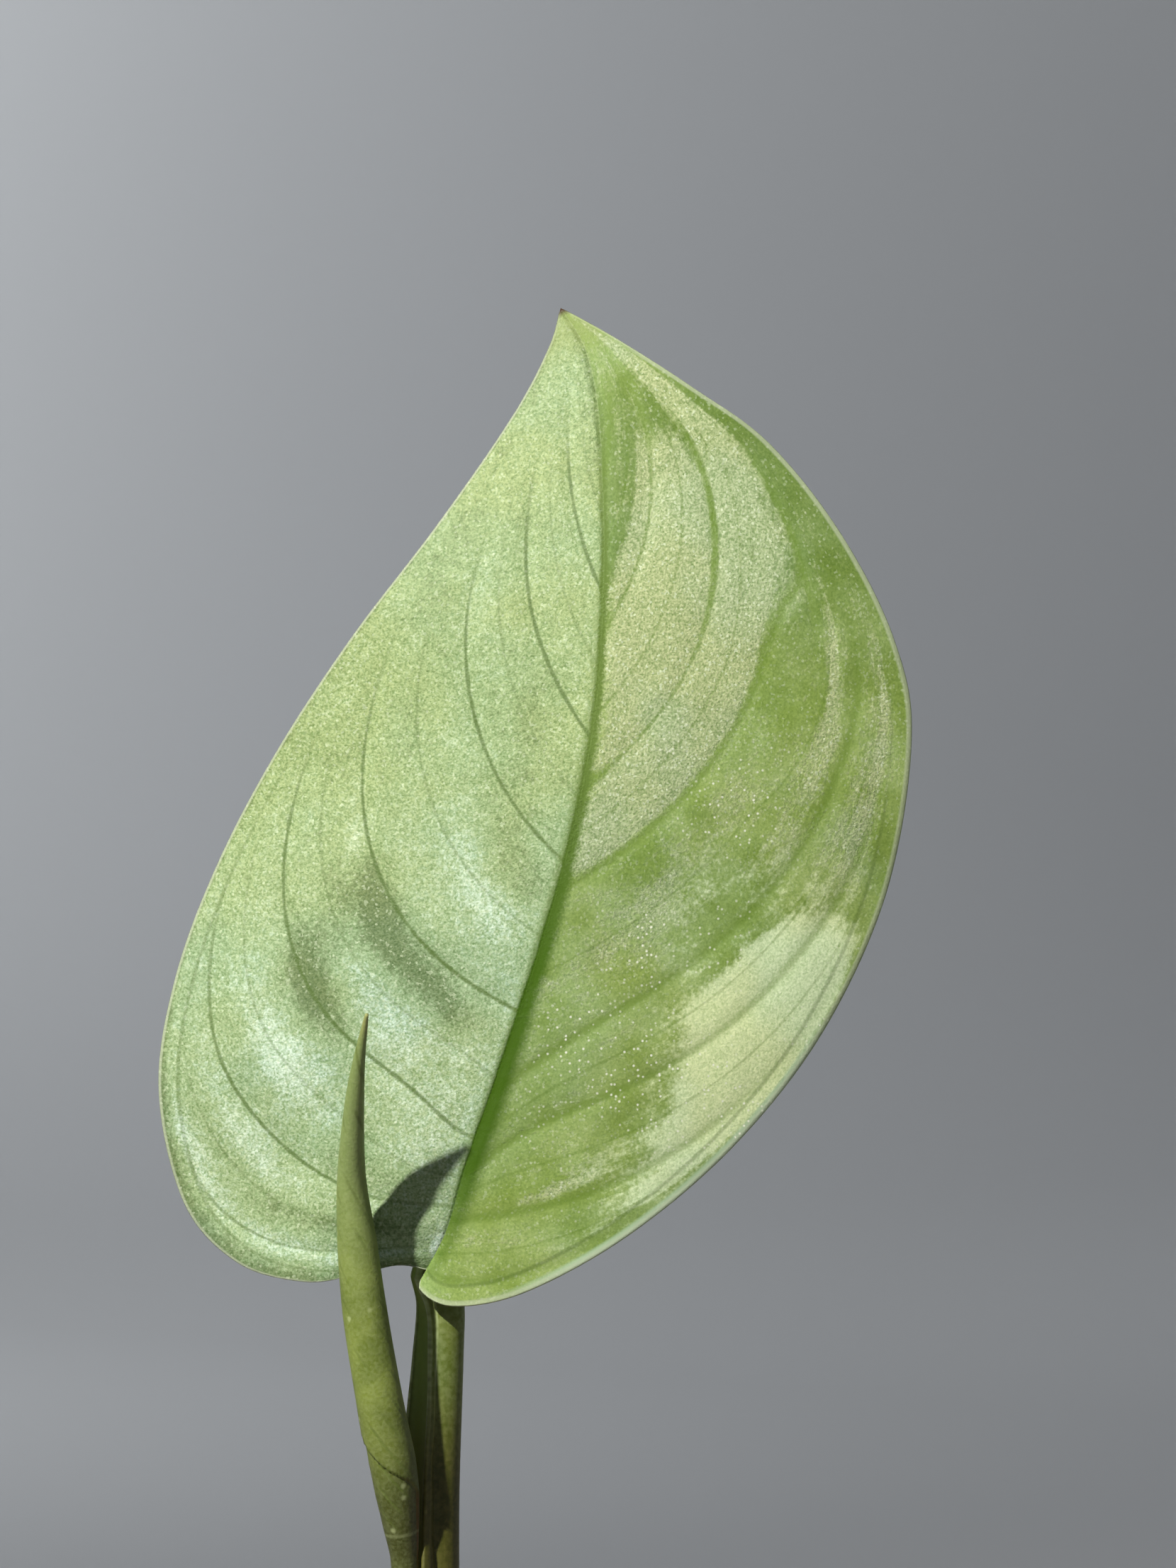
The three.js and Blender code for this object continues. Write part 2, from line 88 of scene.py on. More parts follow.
SOFT_LAMPS = [  # name, place, aim, watts, size
    ("front_soft", (0.6, -1.3, 0.9), plant_middle, 0.2, 0.9),
    ("back_soft", (0.9, 1.3, 0.9), plant_middle, 4, 0.9),
    *((name, (1.3 * x, 1.3 * y, 1.2), (2.3 * x, 2.3 * y, 0.2), 9, 0.5) for name, x, y in GLOW_PLACES),
    ("back_glow", (-1.1, 1.75, 0.9), (-0.5, 2.6, 1.05), 26, 0.5),
]


def smooth_line(points, count):
    """Points spaced evenly along a smooth line through the given ones."""
    given = np.array(points, float)
    place = np.linspace(0, len(given) - 1, 24 * len(given))
    left = np.minimum(place.astype(int), len(given) - 2)
    part = (place - left)[:, None]
    before, start = given[np.maximum(left - 1, 0)], given[left]
    end, after = given[left + 1], given[np.minimum(left + 2, len(given) - 1)]
    pull, push = (end - before) / 2, (after - start) / 2
    dense = (2 * start - 2 * end + pull + push) * part**3
    dense += (3 * end - 3 * start - 2 * pull - push) * part**2 + pull * part + start
    travelled = np.r_[0, np.cumsum(np.linalg.norm(np.diff(dense, axis=0), axis=1))]
    wanted = np.linspace(0, travelled[-1], count)
    return np.stack([np.interp(wanted, travelled, dense[:, axis]) for axis in range(given.shape[1])], axis=1)


def linked(name, mesh):
    """A mesh as an object at the origin, in the scene."""
    piece = bpy.data.objects.new(name, mesh)
    bpy.context.collection.objects.link(piece)
    return piece


def make_piece(name, vertices, faces, material):
    """A smooth-shaded mesh object at the origin, its faces turned outwards."""
    mesh = bpy.data.meshes.new(name)
    mesh.from_pydata([tuple(v) for v in np.asarray(vertices, float)], [], faces)
    shape = bmesh.new()
    shape.from_mesh(mesh)
    bmesh.ops.recalc_face_normals(shape, faces=shape.faces)
    shape.to_mesh(mesh)
    shape.free()
    mesh.shade_smooth()
    mesh.materials.append(material)
    return linked(name, mesh)


def revolve(profile, segments):
    """The points and faces of a profile of (radius, height) turned about Z. A radius of 0 is a pole."""
    turns = np.arange(segments) * 2 * math.pi / segments
    points, rows = [], []
    for radius, height in profile:
        if radius == 0:
            rows.append([len(points)] * segments)
            points.append((0, 0, height))
        else:
            rows.append(list(range(len(points), len(points) + segments)))
            points += [(radius * math.cos(t), radius * math.sin(t), height) for t in turns]
    faces = []
    for low, high in zip(rows, rows[1:]):
        for k in range(segments):
            after = (k + 1) % segments
            corners = [low[k], low[after], high[after], high[k]]
            faces.append(tuple(dict.fromkeys(corners)))
    return points, faces


def new_material(name):
    """A material, its node tree and its Principled shader."""
    material = bpy.data.materials.new(name)
    material.use_nodes = True
    tree = material.node_tree
    return material, tree, tree.nodes["Principled BSDF"]


def fill(tree, made, inputs):
    """Fills a node's inputs: a value is set, a socket is joined."""
    for key, value in dict(inputs).items():
        if isinstance(value, bpy.types.NodeSocket):
            tree.links.new(value, made.inputs[key])
        else:
            made.inputs[key].default_value = value


def node(tree, kind, inputs=(), **settings):
    """Adds a node, sets its properties, and fills its inputs."""
    made = tree.nodes.new(kind)
    for key, value in settings.items():
        setattr(made, key, value)
    fill(tree, made, inputs)
    return made


def blend_colours(tree, share, first, second, mode="MIX"):
    """The output of a colour mix of two colours or sockets."""
    inputs = {0: share, 6: first, 7: second}
    return node(tree, "ShaderNodeMix", inputs, data_type="RGBA", blend_type=mode).outputs[2]


def object_place(tree):
    return node(tree, "ShaderNodeTexCoord").outputs["Object"]


def noise_of(tree, place, scale, detail=3.0, roughness=0.5):
    """A noise value about 0.5 whose features are about 1/scale metres across."""
    inputs = {"Vector": place, "Scale": scale, "Detail": detail, "Roughness": roughness}
    return node(tree, "ShaderNodeTexNoise", inputs).outputs[0]


def stage_material():
    material, tree, shader = new_material("stage")
    shade = tuple(STAGE_SHADE * c for c in STAGE_GREY[:3]) + (1,)
    grey = blend_colours(tree, noise_of(tree, object_place(tree), 1.5), STAGE_GREY, shade)
    fill(tree, shader, {"Base Color": grey, "Roughness": 0.9, "Specular IOR Level": 0.1})
    return material


def add_lamp(name, kind, place, aim, energy, colour, **settings):
    """A lamp that points from its place to its aim and isn't seen itself."""
    data = bpy.data.lights.new(name, kind)
    data.energy = energy
    data.color = colour
    for key, value in settings.items():
        setattr(data, key, value)
    lamp = bpy.data.objects.new(name, data)
    lamp.location = place
    lamp.rotation_euler = (Vector(aim) - Vector(place)).to_track_quat("-Z", "Y").to_euler()
    lamp.visible_camera = False
    bpy.context.collection.objects.link(lamp)


stage = make_piece("stage", *revolve(smooth_line(STAGE_PROFILE, 60).tolist(), 128), stage_material())
stage.data.flip_normals()

world = bpy.data.worlds.new("world")
world.use_nodes = True
fill(world.node_tree, world.node_tree.nodes["Background"], {"Color": SKY, "Strength": SKY_STRENGTH})
bpy.context.scene.world = world
bpy.context.scene.view_settings.view_transform = "Standard"

add_lamp("key", "SPOT", KEY_TARGET + KEY_DIRECTION * KEY_DISTANCE, plant_middle, KEY_WATTS, KEY_WHITE,
         shadow_soft_size=0.014, spot_size=0.7, spot_blend=1.0)
for name, place, aim, watts, size in SOFT_LAMPS:
    add_lamp(name, "AREA", place, aim, watts, SOFT_WHITE, shape="DISK", size=size)
add_lamp("floor_glow", "AREA", (-0.5, 0.95, 0.75), (-0.45, 1.1, 0), 3.6, SOFT_WHITE,
         shape="DISK", size=0.6, spread=2.3)

# ---- clay pot ----
# A thrown terracotta pot, fired without a glaze: a band round the rim, a rounded lip and one drain hole. Its
# skin shows fine grog, faint turning marks, and the pale bloom that hard water leaves.

POT_SEGMENTS = 160
pot_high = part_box("clay_pot")[1]
pot_radius = pot_high.x
pot_height = pot_high.z
# Shares of the pot's radius and height, from the drain hole round the outside to the floor inside.
POT_OUTLINE = [
    [(0.133, 0), (0.4, 0), (0.636, 0)],
    [(0.636, 0), (0.655, 0.003), (0.667, 0.014), (0.675, 0.04)],
    [(0.675, 0.04), (0.79, 0.42), (0.905, 0.765)],
    [(0.905, 0.765), (0.915, 0.783), (0.935, 0.788), (0.965, 0.789)],
    [(0.965, 0.789), (0.978, 0.792), (0.983, 0.803), (0.985, 0.82)],
    [(0.985, 0.82), (0.993, 0.9), (1, 0.968)],
    [(1, 0.968), (0.996, 0.99), (0.975, 1), (0.945, 1), (0.92, 0.992), (0.91, 0.972)],
    [(0.91, 0.972), (0.83, 0.8), (0.7, 0.45), (0.585, 0.075)],
    [(0.585, 0.075), (0.57, 0.064), (0.5, 0.0625), (0.3, 0.0625), (0.133, 0.0625)],
    [(0.133, 0.0625), (0.133, 0.03), (0.133, 0)],
]
RING_DEPTH = 0.12 * MM  # of the rings that a potter's fingers leave
RING_TURN = 1150  # radians of a ring to a metre of height
ROUND_ERROR = 0.15 * MM  # how far the rim is out of round
CLAY_DEEP = (0.43, 0.155, 0.068, 1)
CLAY_LIGHT = (0.56, 0.235, 0.11, 1)
CLAY_GROG = (0.3, 0.1, 0.045, 1)
CLAY_DUST = (0.66, 0.34, 0.19, 1)
CLAY_LIME = (0.72, 0.6, 0.5, 1)
CLAY_WORN = (0.68, 0.36, 0.2, 1)


def math_of(tree, operation, *values):
    """The output of a Math node on up to three values or sockets."""
    return node(tree, "ShaderNodeMath", enumerate(values), operation=operation).outputs[0]


def scaled(tree, value, times, plus):
    """A value times a second one, plus a third."""
    return math_of(tree, "MULTIPLY_ADD", value, times, plus)


def product(tree, *values):
    """All the values multiplied."""
    result = values[0]
    for value in values[1:]:
        result = math_of(tree, "MULTIPLY", result, value)
    return result


def steps_between(tree, value, low, high):
    """0 below low, 1 above high, and smooth between. With low above high it runs the other way."""
    inputs = {"Value": value, "From Min": low, "From Max": high}
    return node(tree, "ShaderNodeMapRange", inputs, interpolation_type="SMOOTHSTEP").outputs[0]


def stretched(tree, place, stretch):
    """A place stretched by a factor on each axis, for a pattern that runs one way."""
    return node(tree, "ShaderNodeMapping", {0: place, 3: stretch}).outputs[0]


def spots_of(tree, place, scale):
    """The outputs of a pattern of cells: each cell's distance from its middle, and its own random colour."""
    return node(tree, "ShaderNodeTexVoronoi", {"Vector": place, "Scale": scale}).outputs


def emboss(tree, shader, height, strength, depth, **settings):
    """Gives a shader fine relief from a height, and returns the bent normal."""
    inputs = {"Height": height, "Strength": strength, "Distance": depth}
    bump = node(tree, "ShaderNodeBump", inputs, **settings)
    tree.links.new(bump.outputs[0], shader.inputs["Normal"])
    return bump.outputs[0]


def terracotta():
    material, tree, shader = new_material("terracotta")
    place = object_place(tree)
    height = node(tree, "ShaderNodeSeparateXYZ", {0: place}).outputs["Z"]
    broad = noise_of(tree, place, 45, 4)
    grain = noise_of(tree, place, 900, 3, 0.6)
    grog = spots_of(tree, place, 1100.0)["Distance"]
    turning = noise_of(tree, stretched(tree, place, (4, 4, 700)), 1.0, 2)
    # lime blooms where water dries: more of it at the rim and at the foot
    near_rim = steps_between(tree, height, 0.9 * pot_height, pot_height)
    near_foot = steps_between(tree, height, 0.2 * pot_height, 0.0)
    wet_line = math_of(tree, "ADD", product(tree, near_rim, 0.16), product(tree, near_foot, 0.2))
    bloom = math_of(tree, "ADD", noise_of(tree, place, 70, 6, 0.65), wet_line)
    bloom = product(tree, steps_between(tree, bloom, 0.58, 0.78), 0.5)
    colour = blend_colours(tree, steps_between(tree, broad, 0.35, 0.68), CLAY_DEEP, CLAY_LIGHT)
    colour = blend_colours(tree, steps_between(tree, grog, 0.22, 0.08), colour, CLAY_GROG)
    colour = blend_colours(tree, product(tree, grain, 0.35), colour, CLAY_DUST)
    colour = blend_colours(tree, bloom, colour, CLAY_LIME)
    # raised edges are rubbed paler
    pointed = node(tree, "ShaderNodeNewGeometry").outputs["Pointiness"]
    rubbed = product(tree, steps_between(tree, pointed, 0.53, 0.62), 0.4)
    colour = blend_colours(tree, rubbed, colour, CLAY_WORN)
    rough = scaled(tree, grain, 0.2, 0.72)
    fill(tree, shader, {"Base Color": colour, "Roughness": rough, "Specular IOR Level": 0.3})
    relief = math_of(tree, "ADD", product(tree, turning, 1.6), product(tree, grain, 0.5))
    emboss(tree, shader, math_of(tree, "ADD", relief, product(tree, grog, 0.35)), 0.6, 0.0004)
    return material


def thrown_outline():
    """The pot's closed outline in metres, with each stretch of it rounded."""
    outline = []
    for stretch in POT_OUTLINE:
        count = 4 + int(40 * np.linalg.norm(np.diff(np.array(stretch), axis=0), axis=1).sum())
        outline += smooth_line(stretch, count).tolist()[:-1]
    return [(radius * pot_radius, height * pot_height) for radius, height in outline]


def thrown(points):
    """The wall as a potter's hands leave it: faint rings, and a rim that isn't quite round."""
    shaped = []
    for x, y, z in points:
        radius, turn = math.hypot(x, y), math.atan2(y, x)
        on_wall = 1 if 0.05 < z / pot_height < 0.95 else 0
        ring = RING_DEPTH * math.sin(z * RING_TURN + 0.6 * math.sin(turn)) * on_wall
        uneven = ROUND_ERROR * math.sin(2 * turn + 0.5) * z / pot_height
        share = 1 + (ring - abs(uneven)) / max(radius, 0.006) if radius > 0.01 else 1
        shaped.append((x * share, y * share, z))
    return shaped


outline = thrown_outline()
pot_points, pot_faces = revolve([*outline, outline[0]], POT_SEGMENTS)
last_row = len(pot_points) - POT_SEGMENTS  # the outline closes on itself, so its last ring is its first
pot_faces = [tuple(k - last_row if k >= last_row else k for k in face) for face in pot_faces]
pot = make_piece("clay_pot_finish", thrown(pot_points[:last_row]), pot_faces, terracotta())
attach(pot, BODY)
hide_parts("clay_pot")

# ---- potting mix ----
# Damp bark and coir that fills the pot to a low mound. Its top is rough with crumbs and short fibres, which
# are scattered over it, and its sides take the shape of the pot.

MIX_LEVEL = 68 * MM
MIX_SHOULDER = 63 * MM
MIX_MOUND = 2 * MM
MIX_DIPS = 0.35 * MM
FOOT_SHARE = 0.262 / 0.379  # of the mix's radius
SHOULDER_SHARE = 0.367 / 0.379
MIX_RINGS = 64
MIX_SEGMENTS = 200
mix_low, mix_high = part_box("potting_mix")
mix_radius = mix_high.x
SOIL_DARK = (0.012, 0.0075, 0.005, 1)
SOIL_BROWN = (0.06, 0.035, 0.02, 1)
SOIL_FIBRE = (0.13, 0.075, 0.04, 1)
CRUMB_DARK = ((0.02, 0.012, 0.008, 1), (0.085, 0.048, 0.026, 1))
CRUMB_BROWN = ((0.06, 0.032, 0.018, 1), (0.2, 0.11, 0.055, 1))
COIR_BROWN = ((0.16, 0.085, 0.04, 1), (0.34, 0.2, 0.1, 1))


def mix_height(x, y):
    """The height of the mix at a place: a low mound with slow dips."""
    radius = min(math.hypot(x, y) / mix_radius, 1)
    mound = MIX_MOUND * math.cos(math.pi / 2 * radius)
    return MIX_LEVEL + mound + MIX_DIPS * math.sin(500 * x) * math.cos(430 * y)


def rough_mix():
    """The body of the mix, closed, with its top broken into lumps."""
    foot, shoulder = FOOT_SHARE * mix_radius, SHOULDER_SHARE * mix_radius
    profile = [(0, mix_low.z), (foot, mix_low.z), (shoulder, MIX_SHOULDER), (mix_radius, MIX_LEVEL - 1 * MM)]
    profile += [(mix_radius * k / MIX_RINGS, MIX_LEVEL) for k in range(MIX_RINGS, -1, -1)]
    points, faces = revolve(profile, MIX_SEGMENTS)
    shaped = []
    for x, y, z in points:
        if z > MIX_LEVEL - 0.5 * MM:
            place = Vector((x, y, 0))
            lumps = 0.75 * noise.fractal(place * 420, 0.7, 2.1, 5)
            pits = -0.5 * max(noise.noise(place * 900), 0)
            z = mix_height(x, y) + (lumps + pits - 0.35) * MM
        shaped.append((x, y, z))
    return shaped, faces


def mix_material():
    material, tree, shader = new_material("potting_mix")
    place = object_place(tree)
    lumps = noise_of(tree, place, 600, 5, 0.7)
    damp = noise_of(tree, place, 110, 3)
    chance = node(tree, "ShaderNodeSeparateColor", {0: spots_of(tree, place, 900.0)["Color"]}).outputs[1]
    soil = blend_colours(tree, steps_between(tree, lumps, 0.35, 0.7), SOIL_DARK, SOIL_BROWN)
    soil = blend_colours(tree, steps_between(tree, chance, 0.8, 0.95), soil, SOIL_FIBRE)
    rough = scaled(tree, damp, 0.5, 0.55)
    fill(tree, shader, {"Base Color": soil, "Roughness": rough, "Specular IOR Level": 0.3})
    emboss(tree, shader, lumps, 0.8, 0.0006)
    return material


def lump(name, seed, stretch, rounds):
    """A crumb: a small ball pushed out of round."""
    crumb = bmesh.new()
    bmesh.ops.create_icosphere(crumb, subdivisions=rounds, radius=1)
    for corner in crumb.verts:
        push = 1 + 0.45 * noise.noise(corner.co * 1.3 + Vector((seed * 7.1, 0, 0)))
        corner.co = Vector(c * s for c, s in zip(corner.co * push, stretch))
    mesh = bpy.data.meshes.new(name)
    crumb.to_mesh(mesh)
    crumb.free()
    return bpy.data.objects.new(name, mesh)


def fibre(name):
    """A coir fibre: a thin three-sided thread with a bend in it."""
    rings, points = 7, []
    for k in range(rings):
        along = k / (rings - 1) - 0.5
        for side in range(3):
            turn = side * 2 * math.pi / 3
            thick = 0.035 * (1 - 0.5 * abs(along))
            points.append((along * 2, 0.5 * (0.25 - along**2) + thick * math.cos(turn),
                           0.22 * math.sin(3 * along) + thick * math.sin(turn)))
    faces = []
    for first in range(0, 3 * (rings - 1), 3):
        for here, after in ((0, 1), (1, 2), (2, 0)):
            faces.append((first + here, first + after, first + 3 + after, first + 3 + here))
    faces += [(2, 1, 0), (3 * rings - 3, 3 * rings - 2, 3 * rings - 1)]
    mesh = bpy.data.meshes.new(name)
    mesh.from_pydata(points, [], faces)
    return bpy.data.objects.new(name, mesh)


FULL_TURN = 6.283  # radians


def scatter_tree():
    """Geometry Nodes that strew copies of a shape over a surface, turned and sized at random."""
    tree = bpy.data.node_groups.new("strewn over the mix", "GeometryNodeTree")
    face = tree.interface
    face.new_socket("Geometry", in_out="INPUT", socket_type="NodeSocketGeometry")
    face.new_socket("Shape", in_out="INPUT", socket_type="NodeSocketObject")
    for name in ("Spacing", "Density", "Smallest", "Largest", "Tilt"):
        face.new_socket(name, in_out="INPUT", socket_type="NodeSocketFloat")
    face.new_socket("Seed", in_out="INPUT", socket_type="NodeSocketInt")
    face.new_socket("Material", in_out="INPUT", socket_type="NodeSocketMaterial")
    face.new_socket("Geometry", in_out="OUTPUT", socket_type="NodeSocketGeometry")
    inputs = tree.nodes.new("NodeGroupInput").outputs
    outputs = tree.nodes.new("NodeGroupOutput").inputs
    points = node(tree, "GeometryNodeDistributePointsOnFaces", {
        "Mesh": inputs["Geometry"], "Distance Min": inputs["Spacing"], "Density Max": inputs["Density"],
        "Seed": inputs["Seed"]}, distribute_method="POISSON")
    tilt = node(tree, "ShaderNodeCombineXYZ", {0: inputs["Tilt"], 1: inputs["Tilt"], 2: FULL_TURN})
    mirror = {0: tilt.outputs[0], 1: (-1.0, -1.0, 0.0)}
    least = node(tree, "ShaderNodeVectorMath", mirror, operation="MULTIPLY")
    turns = {"Min": least.outputs[0], "Max": tilt.outputs[0]}
    turn = node(tree, "FunctionNodeRandomValue", turns, data_type="FLOAT_VECTOR")
    sizes = {2: inputs["Smallest"], 3: inputs["Largest"]}
    size = node(tree, "FunctionNodeRandomValue", sizes, data_type="FLOAT")
    shape = node(tree, "GeometryNodeObjectInfo", {"Object": inputs["Shape"]})
    copies = node(tree, "GeometryNodeInstanceOnPoints", {
        "Points": points.outputs["Points"], "Instance": shape.outputs["Geometry"],
        "Rotation": turn.outputs[0], "Scale": size.outputs[1]})
    real = node(tree, "GeometryNodeRealizeInstances", {0: copies.outputs[0]})
    finished = node(tree, "GeometryNodeSetMaterial", {0: real.outputs[0], "Material": inputs["Material"]})
    tree.links.new(finished.outputs[0], outputs["Geometry"])
    return tree


def strewn(name, ground, tree, **values):
    """The mesh that a scatter tree makes over a ground object, as a piece of its own."""
    base = linked(name + " ground", ground.data.copy())
    modifier = base.modifiers.new("strew", "NODES")
    modifier.node_group = tree
    for item in tree.interface.items_tree:
        if item.in_out == "INPUT" and item.name in values:
            modifier[item.identifier] = values[item.name]
    mesh = bpy.data.meshes.new_from_object(base.evaluated_get(bpy.context.evaluated_depsgraph_get()))
    base.modifiers.remove(modifier)
    bpy.data.objects.remove(base)
    mesh.name = name
    mesh.shade_smooth()
    return linked(name, mesh)


def crumb_material(name, colours, scale):
    material, tree, shader = new_material(name)
    place = object_place(tree)
    broad = noise_of(tree, place, scale, 2)
    grain = noise_of(tree, place, 2400, 3)
    colour = blend_colours(tree, steps_between(tree, broad, 0.35, 0.65), *colours)
    rough = scaled(tree, broad, 0.3, 0.65)
    fill(tree, shader, {"Base Color": colour, "Roughness": rough, "Specular IOR Level": 0.25})
    emboss(tree, shader, grain, 0.6, 0.0002)
    return material


mix = make_piece("potting_mix_body", *rough_mix(), mix_material())
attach(mix, BODY)
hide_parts("potting_mix")

# the crumbs and threads lie on a copy of the mix's top that stops short of the pot
mix_top = linked("mix top", mix.data.copy())
open_top = bmesh.new()
open_top.from_mesh(mix_top.data)
inner = mix_radius - 1.2 * MM
middles = [(face, face.calc_center_median()) for face in open_top.faces]
unwanted = [face for face, middle in middles if middle.z < MIX_LEVEL - 1.5 * MM or middle.xy.length > inner]
bmesh.ops.delete(open_top, geom=unwanted, context="FACES")
open_top.to_mesh(mix_top.data)
open_top.free()

SCATTER = scatter_tree()
fine_skin = crumb_material("crumb_dark", CRUMB_DARK, 130)
coarse_skin = crumb_material("crumb_brown", CRUMB_BROWN, 170)
coir_skin = crumb_material("coir", COIR_BROWN, 200)
fine_crumb = lump("fine crumb", 1, (1, 0.8, 0.7), 1)
coarse_crumb = lump("coarse crumb", 2, (1, 0.7, 0.45), 2)
STREWN = [  # name, shape, spacing, density, smallest, largest, tilt, seed, material
    ("crumbs_fine", fine_crumb, 1.0, 700000.0, 0.35, 0.85, 3.1, 5, fine_skin),
    ("crumbs_coarse", coarse_crumb, 2.9, 60000.0, 0.8, 1.7, 0.7, 11, coarse_skin),
    ("coir_fibres", fibre("coir thread"), 3.6, 40000.0, 1.6, 3.4, 0.35, 17, coir_skin),
]
for name, shape, spacing, density, smallest, largest, tilt, seed, skin in STREWN:
    strew = strewn(name, mix_top, SCATTER, Shape=shape, Spacing=spacing * MM, Density=density,
                   Smallest=smallest * MM, Largest=largest * MM, Tilt=tilt, Seed=seed, Material=skin)
    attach(strew, BODY)
    bpy.data.objects.remove(shape)
bpy.data.objects.remove(mix_top)

# ---- bark chips and perlite ----
# Chips of pine bark and grains of expanded perlite, bedded in the top of the mix. Each is made from its own
# solid in the model, so it keeps its place. The bark is split into layers; the perlite is puffed and pitted.

BARK_DARK = (0.05, 0.02, 0.01, 1)
BARK_BROWN = (0.2, 0.085, 0.038, 1)
BARK_PALE = (0.27, 0.17, 0.1, 1)
PERLITE_WHITE = (0.78, 0.77, 0.73, 1)
PERLITE_PIT = (0.56, 0.54, 0.49, 1)
PERLITE_STAIN = (0.42, 0.34, 0.25, 1)


def weathered(cad_name, name, rounds, move, material):
    """A copy of a bedded solid, subdivided once for each smoothness in rounds, with moved corners."""
    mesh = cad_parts[cad_name].data.copy()
    shape = bmesh.new()
    shape.from_mesh(mesh)
    bmesh.ops.remove_doubles(shape, verts=shape.verts, dist=1e-6)
    low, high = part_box(cad_name)
    middle = (low + high) / 2
    for smoothness in rounds:
        bmesh.ops.subdivide_edges(shape, edges=shape.edges, cuts=1, use_grid_fill=True, smooth=smoothness)
    bmesh.ops.recalc_face_normals(shape, faces=shape.faces)
    shape.normal_update()
    moved = [corner.co + move(corner.co, corner.normal, middle) for corner in shape.verts]
    for corner, place in zip(shape.verts, moved):
        corner.co = place
    shape.to_mesh(mesh)
    shape.free()
    mesh.name = name
    mesh.shade_smooth()
    mesh.materials.clear()
    mesh.materials.append(material)
    return linked(name, mesh)


def split_bark(place, normal, middle):
    """Layers along the flat of a chip, with worn corners."""
    layers = 0.16 * math.sin(place.z * 9000 + 6 * noise.noise(place * 260)) * (1 - abs(normal.z))
    chips = 0.32 * noise.fractal(place * 330, 0.8, 2.2, 3)
    return normal * (layers + chips) * MM - (place - middle) * 0.05


def puffed(place, normal, _):
    """Rounded lobes and small pits."""
    lobes = 0.28 * noise.noise(place * 800)
    pits = -0.2 * max(noise.noise(place * 2300) - 0.1, 0)
    return normal * (lobes + pits + 0.1) * MM


def bark_material():
    material, tree, shader = new_material("pine_bark")
    place = object_place(tree)
    layers = noise_of(tree, stretched(tree, place, (300, 300, 1500)), 1.0, 4, 0.6)
    broad = noise_of(tree, place, 140, 2)
    bark = blend_colours(tree, steps_between(tree, layers, 0.35, 0.68), BARK_DARK, BARK_BROWN)
    bark = blend_colours(tree, steps_between(tree, broad, 0.5, 0.75), bark, BARK_PALE)
    fill(tree, shader, {"Base Color": bark, "Roughness": 0.88, "Specular IOR Level": 0.3})
    emboss(tree, shader, layers, 0.8, 0.0004)
    return material


def perlite_material():
    material, tree, shader = new_material("perlite")
    place = object_place(tree)
    pits = spots_of(tree, place, 1900.0)["Distance"]
    stain = noise_of(tree, place, 330, 3)
    white = blend_colours(tree, steps_between(tree, pits, 0.1, 0.5), PERLITE_WHITE, PERLITE_PIT)
    white = blend_colours(tree, steps_between(tree, stain, 0.55, 0.8), white, PERLITE_STAIN)
    fill(tree, shader, {"Base Color": white, "Roughness": 0.85})
    emboss(tree, shader, pits, 0.7, 0.0002, invert=True)
    return material


BEDDED = {  # by the start of the solid's name: how it is subdivided and moved, its material and its slot
    "bark_chip": ((0.25, 0.15, 0, 0), split_bark, bark_material(), "bark"),
    "perlite_grain": ((0.9, 0.6, 0), puffed, perlite_material(), "perlite"),
}
for cad_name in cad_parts:
    for start, (rounds, move, skin, slot) in BEDDED.items():
        if cad_name.startswith(start):
            bedded = weathered(cad_name, cad_name + "_finish", rounds, move, skin)
            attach(bedded, BODY)
            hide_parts(cad_name)

# ---- roots, old vine and air root ----
# The buried roots are the model's own, finished as pale young root. The vine that was rooted lies half out of
# the mix: an olive stem with a raised node, corky lines and a healed cut. One air root dips from it.


def stem_frame(line):
    """For each point of a line: its direction, a side vector towards +X and a front vector towards -Y."""
    ahead = np.gradient(line, axis=0)
    ahead /= np.linalg.norm(ahead, axis=1)[:, None]
    side = np.array([1.0, 0, 0]) - ahead * ahead[:, :1]
    steep = np.linalg.norm(side, axis=1) < 0.2
    side[steep] = np.array([0, 0, 1.0]) - ahead[steep] * ahead[steep, 2:]
    side /= np.linalg.norm(side, axis=1)[:, None]
    return ahead, side, np.cross(side, ahead)


def rings_along(line, sections):
    """Sections (x to the side, y to the front) set along a line, as rings of points."""
    _, side, front = stem_frame(line)
    return line[:, None] + sections[..., :1] * side[:, None] + sections[..., 1:] * front[:, None]


def wall_faces(rows, count):
    """The faces between rings of so many points, in so many rows."""
    faces = []
    for first in range(0, (rows - 1) * count, count):
        for k in range(count):
            after = (k + 1) % count
            faces.append((first + k, first + after, first + count + after, first + count + k))
    return faces


def swept(line, sections):
    """The points and faces of sections set along a line, with domed ends."""
    ahead = stem_frame(line)[0]
    rings = rings_along(line, sections)
    count = rings.shape[1]
    across = sections[[0, -1]] - sections[[0, -1]].mean(axis=1, keepdims=True)
    dome = 0.25 * np.linalg.norm(across, axis=2).mean(axis=1)
    ends = rings[[0, -1]].mean(axis=1) + ahead[[0, -1]] * np.array([[-dome[0]], [dome[1]]])
    points = np.concatenate([rings.reshape(-1, 3), ends])
    faces = wall_faces(len(line), count)
    last = (len(line) - 1) * count
    for k in range(count):
        after = (k + 1) % count
        faces.append((len(points) - 2, after, k))
        faces.append((len(points) - 1, last + k, last + after))
    return points, faces


def round_sections(radii, count):
    """Circles of the given radii."""
    turns = np.arange(count) * 2 * math.pi / count
    return radii[:, None, None] * np.stack([np.cos(turns), np.sin(turns)], axis=1)[None]


def at_share(pairs, share):
    """The value at each share of a line through (share, value) pairs."""
    return np.interp(share, [pair[0] for pair in pairs], [pair[1] for pair in pairs])


